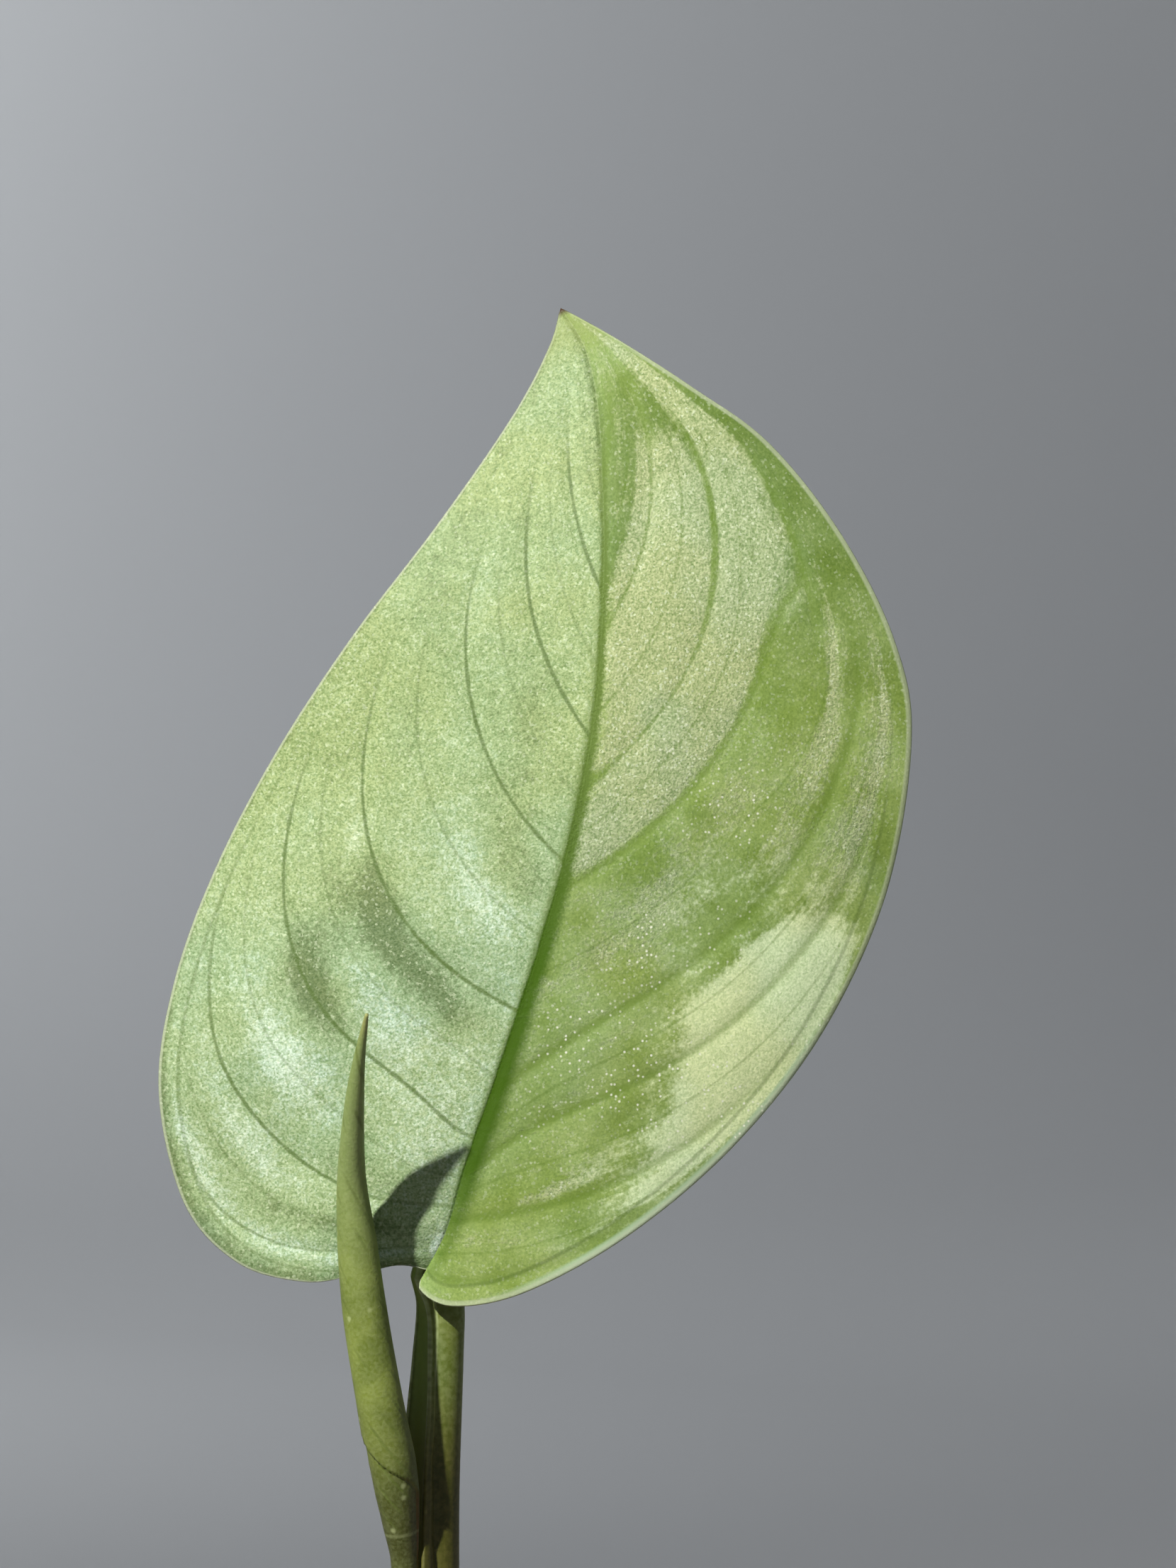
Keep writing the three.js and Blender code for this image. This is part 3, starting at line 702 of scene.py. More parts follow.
def stem_piece(name, points, faces, material, cad_name, slot):
    """A plant piece in millimetres from the middle of the pot's foot, put in place of its model node."""
    piece = make_piece(name, np.asarray(points) * MM, faces, material)
    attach(piece, BODY)
    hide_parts(cad_name)
    return piece


def stem_material(name, colours, accent_share, stretch, gloss):
    """Skin of a stem: fine lines along it, clouds of a third colour, and a few specks of it."""
    dark, light, accent = colours
    material, tree, shader = new_material(name)
    place = object_place(tree)
    lines = noise_of(tree, stretched(tree, place, stretch), 1.0, 3, 0.6)
    clouds = noise_of(tree, place, 170, 3)
    specks = noise_of(tree, place, 1500, 2)
    mottle = math_of(tree, "ADD", clouds, product(tree, specks, 0.25))
    colour = blend_colours(tree, steps_between(tree, lines, 0.3, 0.7), dark, light)
    colour = blend_colours(tree, steps_between(tree, mottle, 0.85 - accent_share, 0.95), colour, accent)
    fill(tree, shader, {"Base Color": colour, "Roughness": scaled(tree, lines, 0.2, gloss)})
    emboss(tree, shader, lines, 0.5, 0.00015)
    return material


ROOT_SKIN = [(0.4, 0.28, 0.15, 1), (0.62, 0.48, 0.3, 1), (0.25, 0.15, 0.08, 1)]
young_root = stem_material("young_root", ROOT_SKIN, 0.3, (900, 900, 200), 0.7)
for cad_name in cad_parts:
    if cad_name.startswith("root_"):
        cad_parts[cad_name].material_slots[0].material = young_root

OLD_SKIN = [(0.12, 0.12, 0.035, 1), (0.26, 0.25, 0.09, 1), (0.3, 0.2, 0.1, 1)]
AIR_ROOT_SKIN = [(0.22, 0.17, 0.07, 1), (0.42, 0.33, 0.17, 1), (0.14, 0.08, 0.04, 1)]
VINE_LINE = [(-19, 5, 60), (-8, 2.5, 65), (0, 1.5, 68), (8, 1.5, 71.5), (17, 2, 76.5)]
VINE_NODE = 0.53  # where its raised node is, as a share of its length
VINE_RADIUS = 3
VINE_ROWS, VINE_SEGMENTS = 150, 48
AIR_ROOT_LINE = [(2.6, -2.2, 70.4), (4.2, -5.2, 72.2), (6.2, -8.6, 71.6), (7.4, -10.6, 67), (7.8, -11.4, 60)]
AIR_ROOT_RADIUS = 1.1
AIR_ROOT_ROWS, AIR_ROOT_SEGMENTS = 90, 24


def bulge_at(share, place, width):
    """1 at a place along a stem, and less and less away from it."""
    return np.exp(-(((share - place) / width) ** 2))


def vine_radius(share):
    ring = bulge_at(share, VINE_NODE, 0.03) + 0.4 * bulge_at(share, VINE_NODE + 0.045, 0.012)
    return VINE_RADIUS * (1 - 0.12 * share + 0.13 * ring)


def old_vine():
    share = np.linspace(0, 1, VINE_ROWS)
    sections = round_sections(vine_radius(share), VINE_SEGMENTS)
    for row in range(VINE_ROWS):
        for k in range(VINE_SEGMENTS):
            turn = k * 2 * math.pi / VINE_SEGMENTS
            place = Vector((math.cos(turn) * 2, math.sin(turn) * 2, share[row] * 9))
            ridge = 0.02 * math.sin(9 * turn + 1.5 * math.sin(5 * share[row]))
            sections[row, k] *= 1 + 0.05 * noise.noise(place) + ridge
    shrink = 1 - 0.12 * np.clip((share - 0.985) / 0.015, 0, 1) - 0.1 * np.clip((0.02 - share) / 0.02, 0, 1)
    return swept(smooth_line(VINE_LINE, VINE_ROWS), sections * shrink[:, None, None])


def air_root():
    share = np.linspace(0, 1, AIR_ROOT_ROWS)
    lumpy = 1 + 0.05 * np.sin(33 * share) + 0.25 * np.exp(-share / 0.04)
    radii = AIR_ROOT_RADIUS * (1 - 0.35 * share) * lumpy
    return swept(smooth_line(AIR_ROOT_LINE, AIR_ROOT_ROWS), round_sections(radii, AIR_ROOT_SEGMENTS))


old_stem_skin = stem_material("old_stem", OLD_SKIN, 0.22, (170, 900, 900), 0.5)
air_root_skin = stem_material("air_root", AIR_ROOT_SKIN, 0.25, (600, 600, 600), 0.65)
stem_piece("old_vine_finish", *old_vine(), old_stem_skin, "old_vine", "old_vine")
stem_piece("air_root_finish", *air_root(), air_root_skin, "air_root", "root")

# ---- shoot and husk ----
# The short new stem that grew from the vine's bud, ringed where its leaves start, and the dry split bract
# round its foot. Both are swept along the same line; the husk is thin brown paper that opens towards its top.

SHOOT_LINE = [(-1.1, 1.56, 71.3), (-2.24, 1.63, 74.2), (-1.6, 0.6, 81), (-0.6, 0.1, 88.2)]
SHOOT_RADIUS = 2.1
SHOOT_ROWS, SHOOT_SEGMENTS = 130, 56
SHOOT_DEEP = (0.1, 0.15, 0.025, 1)
SHOOT_FRESH = (0.2, 0.27, 0.06, 1)
HUSK_ROWS, HUSK_SEGMENTS = 110, 90
HUSK_THICKNESS = 0.2
SHOOT_STEPS = 400
HUSK_STEPS = [36, 100, 180, 260, 338]  # the steps along the shoot that the husk's line runs through
HUSK_DARK = (0.2, 0.12, 0.055, 1)
HUSK_PALE = (0.42, 0.29, 0.15, 1)
HUSK_BLOT = (0.1, 0.055, 0.025, 1)
HUSK_THROUGH = 0.25  # how much light comes through the paper
STEM_PALE = (0.4, 0.46, 0.22, 1)


def directions(turns):
    """The unit vector of each angle."""
    return np.stack([np.cos(turns), np.sin(turns)], axis=-1)


def split_sections(outer, inner, turns):
    """Rings that are open on one side: their outside, a rounded rim, their inside and the other rim."""
    middle = (outer + inner) / 2
    points = directions(turns)
    step = (turns[:, 1] - turns[:, 0])[:, None]
    bulge = np.minimum((outer - inner)[:, [0, -1]] / 2 / np.maximum(middle[:, [0, -1]], 0.1), 2 * step)
    rims = turns[:, [0, -1]] + bulge * np.array([[-1, 1]])
    rim_points = middle[:, [0, -1], None] * directions(rims)
    outside, inside = outer[..., None] * points, inner[..., None] * points
    return np.concatenate([outside, rim_points[:, 1:], inside[:, ::-1], rim_points[:, :1]], axis=1)


def split_tube(line, sections):
    """The points and faces of split rings set along a line, closed at both ends."""
    rings = rings_along(line, sections)
    count = rings.shape[1]
    half = count // 2 - 1
    faces = wall_faces(len(line), count)
    for base in (0, (len(line) - 1) * count):
        for k in range(half - 1):
            faces.append((base + k, base + k + 1, base + 2 * half - 1 - k, base + 2 * half - k))
        faces.append((base + half - 1, base + half, base + half + 1))
        faces.append((base, base + 2 * half, base + 2 * half + 1))
    return rings.reshape(-1, 3), faces


def with_facts(name, points, faces, facts, material, cad_name, slot):
    """A closed piece in place of its model node, whose vertices carry named values for its finish."""
    mesh = bpy.data.meshes.new(name)
    mesh.from_pydata(np.asarray(points, float).tolist(), [], [tuple(int(k) for k in face) for face in faces])
    for key, values in facts.items():
        mesh.attributes.new(key, "FLOAT", "POINT").data.foreach_set("value", values.astype(np.float32))
    shape = bmesh.new()
    shape.from_mesh(mesh)
    bmesh.ops.remove_doubles(shape, verts=shape.verts, dist=1e-7)
    bmesh.ops.recalc_face_normals(shape, faces=shape.faces)
    shape.to_mesh(mesh)
    shape.free()
    mesh.shade_smooth()
    mesh.materials.append(material)
    piece = linked(name, mesh)
    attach(piece, BODY)
    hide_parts(cad_name)


def fact(tree, name):
    """A named value that the piece's vertices carry."""
    return node(tree, "ShaderNodeAttribute", attribute_name=name).outputs["Fac"]


def plant_skin_group():
    """A shader node group for living skin: fine cells as a shade, masks of bright flecks and glints for
    painted sparkle, and a height.
    """
    group = bpy.data.node_groups.new("plant skin", "ShaderNodeTree")
    for name, default in (("Cell Scale", 5200.0), ("Glint Scale", 2600.0), ("Glint Share", 0.05)):
        socket = group.interface.new_socket(name, in_out="INPUT", socket_type="NodeSocketFloat")
        socket.default_value = default
    for name in ("Cells", "Flecks", "Glints", "Height"):
        group.interface.new_socket(name, in_out="OUTPUT", socket_type="NodeSocketFloat")
    inputs = group.nodes.new("NodeGroupInput").outputs
    outputs = group.nodes.new("NodeGroupOutput").inputs
    place = object_place(group)
    cells = noise_of(group, place, inputs["Cell Scale"], 2.0)
    spots = spots_of(group, place, inputs["Glint Scale"])
    chance = node(group, "ShaderNodeSeparateColor", {0: spots["Color"]}).outputs[0]
    lucky = math_of(group, "LESS_THAN", chance, inputs["Glint Share"])
    close = steps_between(group, spots["Distance"], 0.4, 0.1)
    facets = spots_of(group, place, inputs["Cell Scale"])
    draws = node(group, "ShaderNodeSeparateColor", {0: facets["Color"]}).outputs
    soft = product(group, steps_between(group, cells, 0.34, 0.66), 0.5)
    group.links.new(scaled(group, draws[1], 0.5, soft), outputs["Cells"])
    group.links.new(steps_between(group, draws[2], 0.9, 0.96), outputs["Flecks"])
    group.links.new(product(group, lucky, close), outputs["Glints"])
    group.links.new(cells, outputs["Height"])
    return group


def plant_skin(tree, cell_scale, glint_scale, glint_share):
    """The outputs of the living skin at a material's own scales."""
    scales = {"Cell Scale": cell_scale, "Glint Scale": glint_scale, "Glint Share": glint_share}
    return node(tree, "ShaderNodeGroup", scales, node_tree=PLANT_SKIN).outputs


def green_stem_material(name, deep, fresh, line_stretch):
    """Green skin with lines along the stem, pale painted glints and a soft shine."""
    material, tree, shader = new_material(name)
    place = object_place(tree)
    skin = plant_skin(tree, 3200.0, 1500.0, 0.03)
    lines = noise_of(tree, stretched(tree, place, line_stretch), 1.0, 3, 0.6)
    clouds = noise_of(tree, place, 240, 3)
    share = scaled(tree, clouds, 0.5, product(tree, lines, 0.5))
    colour = blend_colours(tree, steps_between(tree, share, 0.36, 0.64), deep, fresh)
    colour = blend_colours(tree, product(tree, skin["Cells"], 0.22), colour, STEM_PALE)
    # painted glints: a few cells painted pale, as if they caught the light
    colour = blend_colours(tree, product(tree, skin["Glints"], 0.5), colour, STEM_PALE)
    rough = scaled(tree, lines, 0.2, 0.42)
    fill(tree, shader, {"Base Color": colour, "Roughness": rough, "Specular IOR Level": 0.4})
    emboss(tree, shader, scaled(tree, lines, 1.5, product(tree, skin["Height"], 0.5)), 0.5, 0.00006)
    return material, tree, shader, colour


def let_light_through(tree, shader, colour, normal, share):
    """Mixes a share of light that comes through from behind into a material's surface."""
    through = node(tree, "ShaderNodeBsdfTranslucent", {"Color": colour, "Normal": normal})
    both = node(tree, "ShaderNodeMixShader", {0: share, 1: shader.outputs[0], 2: through.outputs[0]})
    tree.links.new(both.outputs[0], tree.nodes["Material Output"].inputs["Surface"])


def husk_material():
    material, tree, shader = new_material("dry_husk")
    place = object_place(tree)
    grain = noise_of(tree, stretched(tree, place, (1500, 1500, 110)), 1.0, 4, 0.6)
    blots = noise_of(tree, place, 300, 3)
    paper = blend_colours(tree, steps_between(tree, grain, 0.35, 0.65), HUSK_DARK, HUSK_PALE)
    paper = blend_colours(tree, steps_between(tree, blots, 0.55, 0.75), paper, HUSK_BLOT)
    fill(tree, shader, {"Base Color": paper, "Roughness": 0.75})
    normal = emboss(tree, shader, grain, 0.7, 0.00012)
    let_light_through(tree, shader, paper, normal, HUSK_THROUGH)
    return material


def shoot_shape():
    share = np.linspace(0, 1, SHOOT_ROWS)
    swelling = bulge_at(share, 0.93, 0.05) + 0.35 * bulge_at(share, 0.8, 0.012)
    foot = 0.12 * np.exp(-share / 0.05)
    sections = round_sections(SHOOT_RADIUS * (1.06 - 0.14 * share + 0.13 * swelling + foot), SHOOT_SEGMENTS)
    turns = np.arange(SHOOT_SEGMENTS) * 2 * math.pi / SHOOT_SEGMENTS
    ribs = 1 + 0.012 * np.sin(11 * turns + 2 * np.sin(2 * turns))
    return swept(smooth_line(SHOOT_LINE, SHOOT_ROWS), sections * ribs[None, :, None])


def husk_shape():
    line = smooth_line(smooth_line(SHOOT_LINE, SHOOT_STEPS)[HUSK_STEPS], HUSK_ROWS)
    share = np.linspace(0, 1, HUSK_ROWS)[:, None]
    half_open = 0.45 + 2.1 * share**1.6
    onward = np.linspace(0, 1, HUSK_SEGMENTS)[None, :] * (2 * math.pi - 2 * half_open)
    turns = math.pi + half_open + onward
    crease = np.zeros(turns.shape)
    for row, k in np.ndindex(*turns.shape):
        place = (3 * math.cos(turns[row, k]), 3 * math.sin(turns[row, k]), row / 16)
        crease[row, k] = noise.noise(Vector(place))
    inner = 1.15 * SHOOT_RADIUS + 0.32 + 0.5 * share + 0.12 * crease
    outer = inner + HUSK_THICKNESS + 0.03 * np.sin(26 * turns) - 0.1 * share
    return split_tube(line, split_sections(outer, inner, turns))


PLANT_SKIN = plant_skin_group()
shoot_green = green_stem_material("shoot_green", SHOOT_DEEP, SHOOT_FRESH, (900, 900, 90))[0]
stem_piece("shoot_finish", *shoot_shape(), shoot_green, "shoot", "green_stem")
stem_piece("husk_finish", *husk_shape(), husk_material(), "husk", "dry_husk")

# ---- leaf stalk ----
# The stalk of the open leaf, green and soft-edged. A groove runs up its left front between two thin wings
# that sheathed the next leaf's stalk; it is widest at mid height and fades out below the blade.

STALK_LINE = [(-0.4, 0.2, 88.2), (0, 0.5, 98), (0.38, 1, 110), (0.5, 1.5, 118), (0.82, 2.3, 126),
              (0.9, 2.5, 129.6), (0.45, 2.1, 131.8), (0.3, 1.5, 133)]
STALK_ROWS, STALK_SEGMENTS = 240, 80
STALK_RADIUS = 1.55
STALK_TAPER = [(0, 1.1), (0.53, 1.02), (0.88, 0.9), (0.97, 0.9), (1, 0.5)]
GROOVE_RADIUS = [(0, 1.0), (0.58, 1.1), (0.8, 0.98), (0.9, 0.7), (0.96, 0.32), (1, 0.15)]
# Which way the groove faces, in degrees from the right over the front, and half its opening, in radians.
GROOVE_FACING = [(0, 150), (0.29, 146), (0.44, 139), (0.55, 133), (0.68, 140), (0.97, 150), (1, 150)]
GROOVE_OPEN = [(0, 0.7), (0.49, 1.2), (0.73, 1.7), (0.97, 2), (1, 2.1)]
WING_THICKNESS = 0.3
STALK_DEEP = (0.06, 0.09, 0.004, 1)
STALK_FRESH = (0.1, 0.13, 0.012, 1)
STALK_FOOT_SHADE = (0.62, 0.48, 0.3, 1)
GROOVE_PALE_AND_LIT = (0.26, 0.36, 0.08, 1)
RIDGE_PALE = (0.42, 0.5, 0.24, 1)


def stalk_shape():
    """The grooved stalk, and how far each point is from a wing's rim: above 0 outside, below 0 inside."""
    share = np.linspace(0, 1, STALK_ROWS)[:, None]
    radius = STALK_RADIUS * at_share(STALK_TAPER, share)
    groove = at_share(GROOVE_RADIUS, share)
    offset = radius + 0.4 - 0.1 * share
    half_open = at_share(GROOVE_OPEN, share)
    turns = half_open + np.linspace(0, 1, STALK_SEGMENTS)[None, :] * (2 * math.pi - 2 * half_open)
    # seen from the middle of the groove, the outside is the far side of a round stalk, or the wing where that
    # stands further out, with a soft corner between them
    across = offset * np.sin(turns)
    chord = np.sqrt(np.maximum(radius**2 - across**2, 0)) - offset * np.cos(turns)
    wing = groove + WING_THICKNESS + 0.03 * np.sin(60 * share)
    outer = np.logaddexp(14 * chord, 14 * wing) / 14
    sections = split_sections(outer, np.broadcast_to(groove, outer.shape) - 0.02, turns)
    sections = sections + np.array([1.0, 0]) * offset[..., None]
    facing = np.radians(at_share(GROOVE_FACING, share))[..., None]
    x, y = sections[..., :1], sections[..., 1:]
    turned = [x * np.cos(facing) - y * np.sin(facing), x * np.sin(facing) + y * np.cos(facing)]
    sections = np.concatenate(turned, axis=2)
    points, faces = split_tube(smooth_line(STALK_LINE, STALK_ROWS), sections)
    none = np.zeros((STALK_ROWS, 1))
    steps = np.linalg.norm(np.diff(sections[:, :STALK_SEGMENTS], axis=1), axis=2)
    walked = np.concatenate([none, np.cumsum(steps, axis=1)], axis=1)
    outside = np.minimum(walked, walked[:, -1:] - walked) + 0.1
    order = np.arange(STALK_SEGMENTS)
    inside = -0.1 - np.minimum(order, order[::-1])[None, :] * 0.05 * np.ones((STALK_ROWS, 1))
    wings = np.concatenate([outside, none, inside, none], axis=1)
    shares = np.repeat(share, sections.shape[1], axis=1)
    return points * MM, faces, {"wing": wings.ravel(), "along": shares.ravel()}


def apart(tree, first, second):
    """How far two values are apart."""
    return math_of(tree, "ABSOLUTE", math_of(tree, "SUBTRACT", first, second))


def stalk_material():
    skin = green_stem_material("stalk_green", STALK_DEEP, STALK_FRESH, (700, 700, 60))
    material, tree, shader, colour = skin
    wing, along = fact(tree, "wing"), fact(tree, "along")
    beads = noise_of(tree, stretched(tree, object_place(tree), (300, 300, 2600)), 1.0, 1)
    # the groove is paler, partly the sheath's own paler inside and partly painted light where the rolled leaf
    # shades it; each wing has a beaded rim with a second line beside it
    rim = steps_between(tree, math_of(tree, "ABSOLUTE", wing), 0.24, 0.04)
    second = steps_between(tree, apart(tree, wing, 0.55), 0.13, 0.03)
    ridge = math_of(tree, "MAXIMUM", rim, product(tree, second, 0.6))
    ridge = product(tree, ridge, product(tree, beads, 1.2))
    # painted light: the groove's colour is pale enough to look lit inside the rolled leaf's shadow
    in_groove = product(tree, steps_between(tree, wing, -0.05, -0.5), 0.75)
    colour = blend_colours(tree, in_groove, colour, GROOVE_PALE_AND_LIT)
    high_ridge = product(tree, ridge, steps_between(tree, along, 0.5, 0.85))
    colour = blend_colours(tree, high_ridge, colour, RIDGE_PALE)
    # painted shade: the stalk darkens and turns browner towards its foot
    shaded = blend_colours(tree, 1.0, colour, STALK_FOOT_SHADE, "MULTIPLY")
    colour = blend_colours(tree, steps_between(tree, along, 0.85, 0.66), colour, shaded)
    tree.links.new(colour, shader.inputs["Base Color"])
    return material


with_facts("leaf_stalk_finish", *stalk_shape(), stalk_material(), "leaf_stalk", "green_stem")

# ---- rolled leaf ----
# The next leaf, rolled lengthwise into a spear on its own thin stalk. Its outer margin shows as a step that
# crosses the front slantwise and runs down the right; faint veins slant the other way, up to a dry tip.

SPEAR_ROWS, SPEAR_SEGMENTS = 420, 96
SPEAR_LINE = [(-2.3, -0.9, 88.2), (-1.6, -0.55, 100), (-1.35, -0.7, 108), (-1.3, -1, 113.4),
              (-1.55, -1.45, 116.4), (-2.0, -2.05, 120), (-2.83, -2.6, 124.5), (-3.66, -2.95, 129.6),
              (-4.16, -3.3, 134.2), (-4.44, -4.05, 137.8), (-4.28, -5.7, 141.5), (-3.9, -7.6, 145),
              (-3.3, -9.5, 148.3)]
SPEAR_RADIUS = [(88, 0.8), (112, 0.8), (114.4, 0.87), (115.2, 0.97), (116.2, 1.12), (118.4, 1.4),
                (120.5, 1.54), (124.5, 1.48), (129.8, 1.4), (134, 1.26), (138.4, 0.9), (141.5, 0.7),
                (143.1, 0.6), (145.6, 0.37), (147.5, 0.19), (148.4, 0.1)]
# The margin's place round the roll, in degrees from the right over the front, by height.
ROLL_EDGE = [(88, 16), (118.6, 16), (119.2, 40), (120.2, 95), (121.2, 135), (122.4, 176), (126, 205),
             (147, 240)]
ROLL_STEP = 0.075  # how far the margin stands off the roll, as a share of its radius
ROLL_VEIN_PITCH = 2.1  # millimetres of height from vein to vein
SPEAR_DEEP = (0.1, 0.135, 0.015, 1)
SPEAR_FRESH = (0.165, 0.21, 0.035, 1)
SPEAR_GREY = (0.175, 0.235, 0.07, 1)
SPEAR_FOOT_SHADE = (0.035, 0.042, 0.002, 1)
SPEAR_VEIN_AND_STEP_SHADE = (0.09, 0.125, 0.02, 1)
SPEAR_BROWN = (0.13, 0.07, 0.015, 1)
SPEAR_TIP = (0.25, 0.27, 0.09, 1)


def spear_shape():
    """The rolled leaf, with what its finish needs: how far the margin is, a vein count, and the height."""
    line = smooth_line(SPEAR_LINE, SPEAR_ROWS)
    height = line[:, 2:]
    radius = at_share(SPEAR_RADIUS, height)
    radius[1:-1] = (radius[:-2] + 2 * radius[1:-1] + radius[2:]) / 4
    turns = (np.arange(SPEAR_SEGMENTS) * 2 * math.pi / SPEAR_SEGMENTS)[None, :]
    edge = np.radians(at_share(ROLL_EDGE, height))
    past = np.mod(turns - edge, 2 * math.pi)
    rolled = np.clip((height - 113) / 4, 0, 1) * np.clip((148.5 - height) / 3, 0, 1)
    lip = np.exp(-((2 * math.pi - past) * radius / 0.25))
    step = ROLL_STEP * (past / (2 * math.pi) - 1) + 0.03 * lip - 0.02 * np.exp(-past * radius / 0.12)
    sway = 0.012 * np.sin(2 * turns + height * 0.35)
    sections = (radius * (1 + rolled * step + sway))[..., None] * directions(turns)
    points, faces = swept(line, sections)
    slant = np.gradient(edge[:, 0], height[:, 0])[:, None] * radius
    nearest = np.where(past > math.pi, past - 2 * math.pi, past) * radius / np.sqrt(1 + slant**2)
    veins = (height + 1.6 * radius * (math.pi - turns)) / ROLL_VEIN_PITCH + 0.3
    facts = {"margin": nearest, "veins": veins, "height": np.broadcast_to(height, nearest.shape)}
    facts = {key: np.concatenate([values.ravel(), values[[0, -1], 0]]) for key, values in facts.items()}
    return points * MM, faces, facts


def spear_material():
    material, tree, shader = new_material("young_leaf")
    place = object_place(tree)
    margin, veins, height = (fact(tree, name) for name in ("margin", "veins", "height"))
    skin = plant_skin(tree, 4600.0, 1500.0, 0.035)
    clouds = noise_of(tree, place, 420, 3)
    colour = blend_colours(tree, steps_between(tree, clouds, 0.32, 0.68), SPEAR_DEEP, SPEAR_FRESH)
    colour = blend_colours(tree, steps_between(tree, height, 128.0, 141.0), colour, SPEAR_GREY)
    # painted shade: the roll darkens to a deep olive towards its foot
    colour = blend_colours(tree, steps_between(tree, height, 127.0, 115.0), colour, SPEAR_FOOT_SHADE)
    colour = blend_colours(tree, product(tree, skin["Cells"], 0.16), colour, STEM_PALE)
    # faint veins: each whole count is one
    wobble = product(tree, math_of(tree, "SUBTRACT", noise_of(tree, place, 900, 2), 0.5), 0.12)
    past_vein = math_of(tree, "SUBTRACT", veins, math_of(tree, "ROUND", veins))
    off_vein = math_of(tree, "ABSOLUTE", math_of(tree, "ADD", past_vein, wobble))
    lines = steps_between(tree, off_vein, 0.14, 0.02)
    lines = product(tree, lines, steps_between(tree, height, 115.5, 118.0))
    lines = product(tree, lines, steps_between(tree, noise_of(tree, place, 330, 2), 0.42, 0.62))
    colour = blend_colours(tree, product(tree, lines, 0.55), colour, SPEAR_VEIN_AND_STEP_SHADE)
    # the margin's step: a dark line in front of it, painted shade under the step, and brown where it runs
    # down the right, the margin's own colour
    near = steps_between(tree, math_of(tree, "ABSOLUTE", margin), 0.14, 0.03)
    rolled = steps_between(tree, height, 112.5, 114.5)
    rolled = product(tree, rolled, steps_between(tree, height, 146.0, 140.0))
    brown = blend_colours(tree, steps_between(tree, height, 119.0, 118.0), SPEAR_VEIN_AND_STEP_SHADE, SPEAR_BROWN)
    colour = blend_colours(tree, product(tree, near, rolled, 0.7), colour, brown)
    # the crease where the roll starts, the dry tip and the painted glints
    crease = steps_between(tree, apart(tree, height, 116.0), 0.16, 0.03)
    colour = blend_colours(tree, product(tree, crease, 0.2), colour, STEM_PALE)
    colour = blend_colours(tree, steps_between(tree, height, 146.2, 148.0), colour, SPEAR_TIP)
    colour = blend_colours(tree, product(tree, skin["Glints"], 0.5), colour, STEM_PALE)
    rough = scaled(tree, skin["Cells"], 0.15, 0.45)
    fill(tree, shader, {"Base Color": colour, "Roughness": rough, "Specular IOR Level": 0.4})
    emboss(tree, shader, math_of(tree, "SUBTRACT", skin["Height"], product(tree, lines, 0.8)), 0.5, 0.00005)
    return material


with_facts("rolled_leaf_finish", *spear_shape(), spear_material(), "rolled_leaf", "young_leaf")

# ---- leaf blade ----
# One open blade, grown whole: a lopsided heart that arches along its midrib and bends back on both sides.
# Veins curve forward out of the midrib and stay dark green; between them, air under the skin shows as silver
# foil. On the left half the foil is heavier, brighter and more bluish, partly as painted sheen where that
# half faces the lamp.

LEAF_TIP = (8.3, 60.1)
MIDRIB = [(0, 0), (1.3, 2.6), (2.5, 6.6), (4.5, 12.3), (7, 19.8), (9.2, 27.7), (10.6, 35.6), (11, 43.6),
          (10.9, 49.7), (10.6, 54.1), (9.8, 57.6), LEAF_TIP]
EDGES = {
    "left": [(0, 0), (-1.8, 0.3), (-4.5, -0.3), (-7.6, -0.7), (-11.8, 0.4), (-15.2, 4), (-16.8, 11),
             (-15.8, 18), (-13.2, 25.1), (-9.5, 32.1), (-4.8, 39.2), (0.5, 46.2), (5.3, 53.2), (7.6, 57.6),
             LEAF_TIP],
    "right": [(0, 0), (-0.4, -1.2), (1.7, -2.2), (6.2, -1.3), (12.6, 2.2), (19, 7.5), (24.6, 14.5),
              (28.7, 23.3), (30.3, 33), (29.2, 39.2), (25.9, 45.8), (21.4, 51.5), (16.6, 55), (11.8, 58.1),
              LEAF_TIP],
}
BLADE_ROWS = 220
BLADE_COLUMNS = 90  # on each side of the midrib
BLADE_THICKNESS = 0.36
BLADE_ARCH, BLADE_NOD = 2.6, 4.5  # how far it arches forward along its length, and its tip hangs back
BLADE_SLOPE = {"left": 0.1, "right": 0.16}  # how steeply each half bends back from the midrib
EDGE_WAVE = {"left": 0.5, "right": 2}  # where on each side the slow waves along the blade start, in radians
QUILT = {"left": 0.12, "right": 0.05}  # how deep the veins lie
CHANNEL_WIDTH = {"left": 0.2, "right": 0.5}  # the midrib lies in a channel with a sharper left side
MIDRIB_RELIEF = 0.9  # how far the midrib stands out of the back, at the blade's base
# Where the main veins leave the midrib, as shares of its length. A vein bends forward as it nears the edge.
VEIN_STATIONS = {
    "left": [-0.2, -0.09, 0.012, 0.09, 0.182, 0.278, 0.43, 0.555, 0.7, 0.85, 1.0, 1.2],
    "right": [-0.2, -0.09, -0.02, 0.055, 0.15, 0.235, 0.4, 0.503, 0.66, 0.82, 1.0, 1.2],
}
VEIN_BEND = (0.07, 0.62)
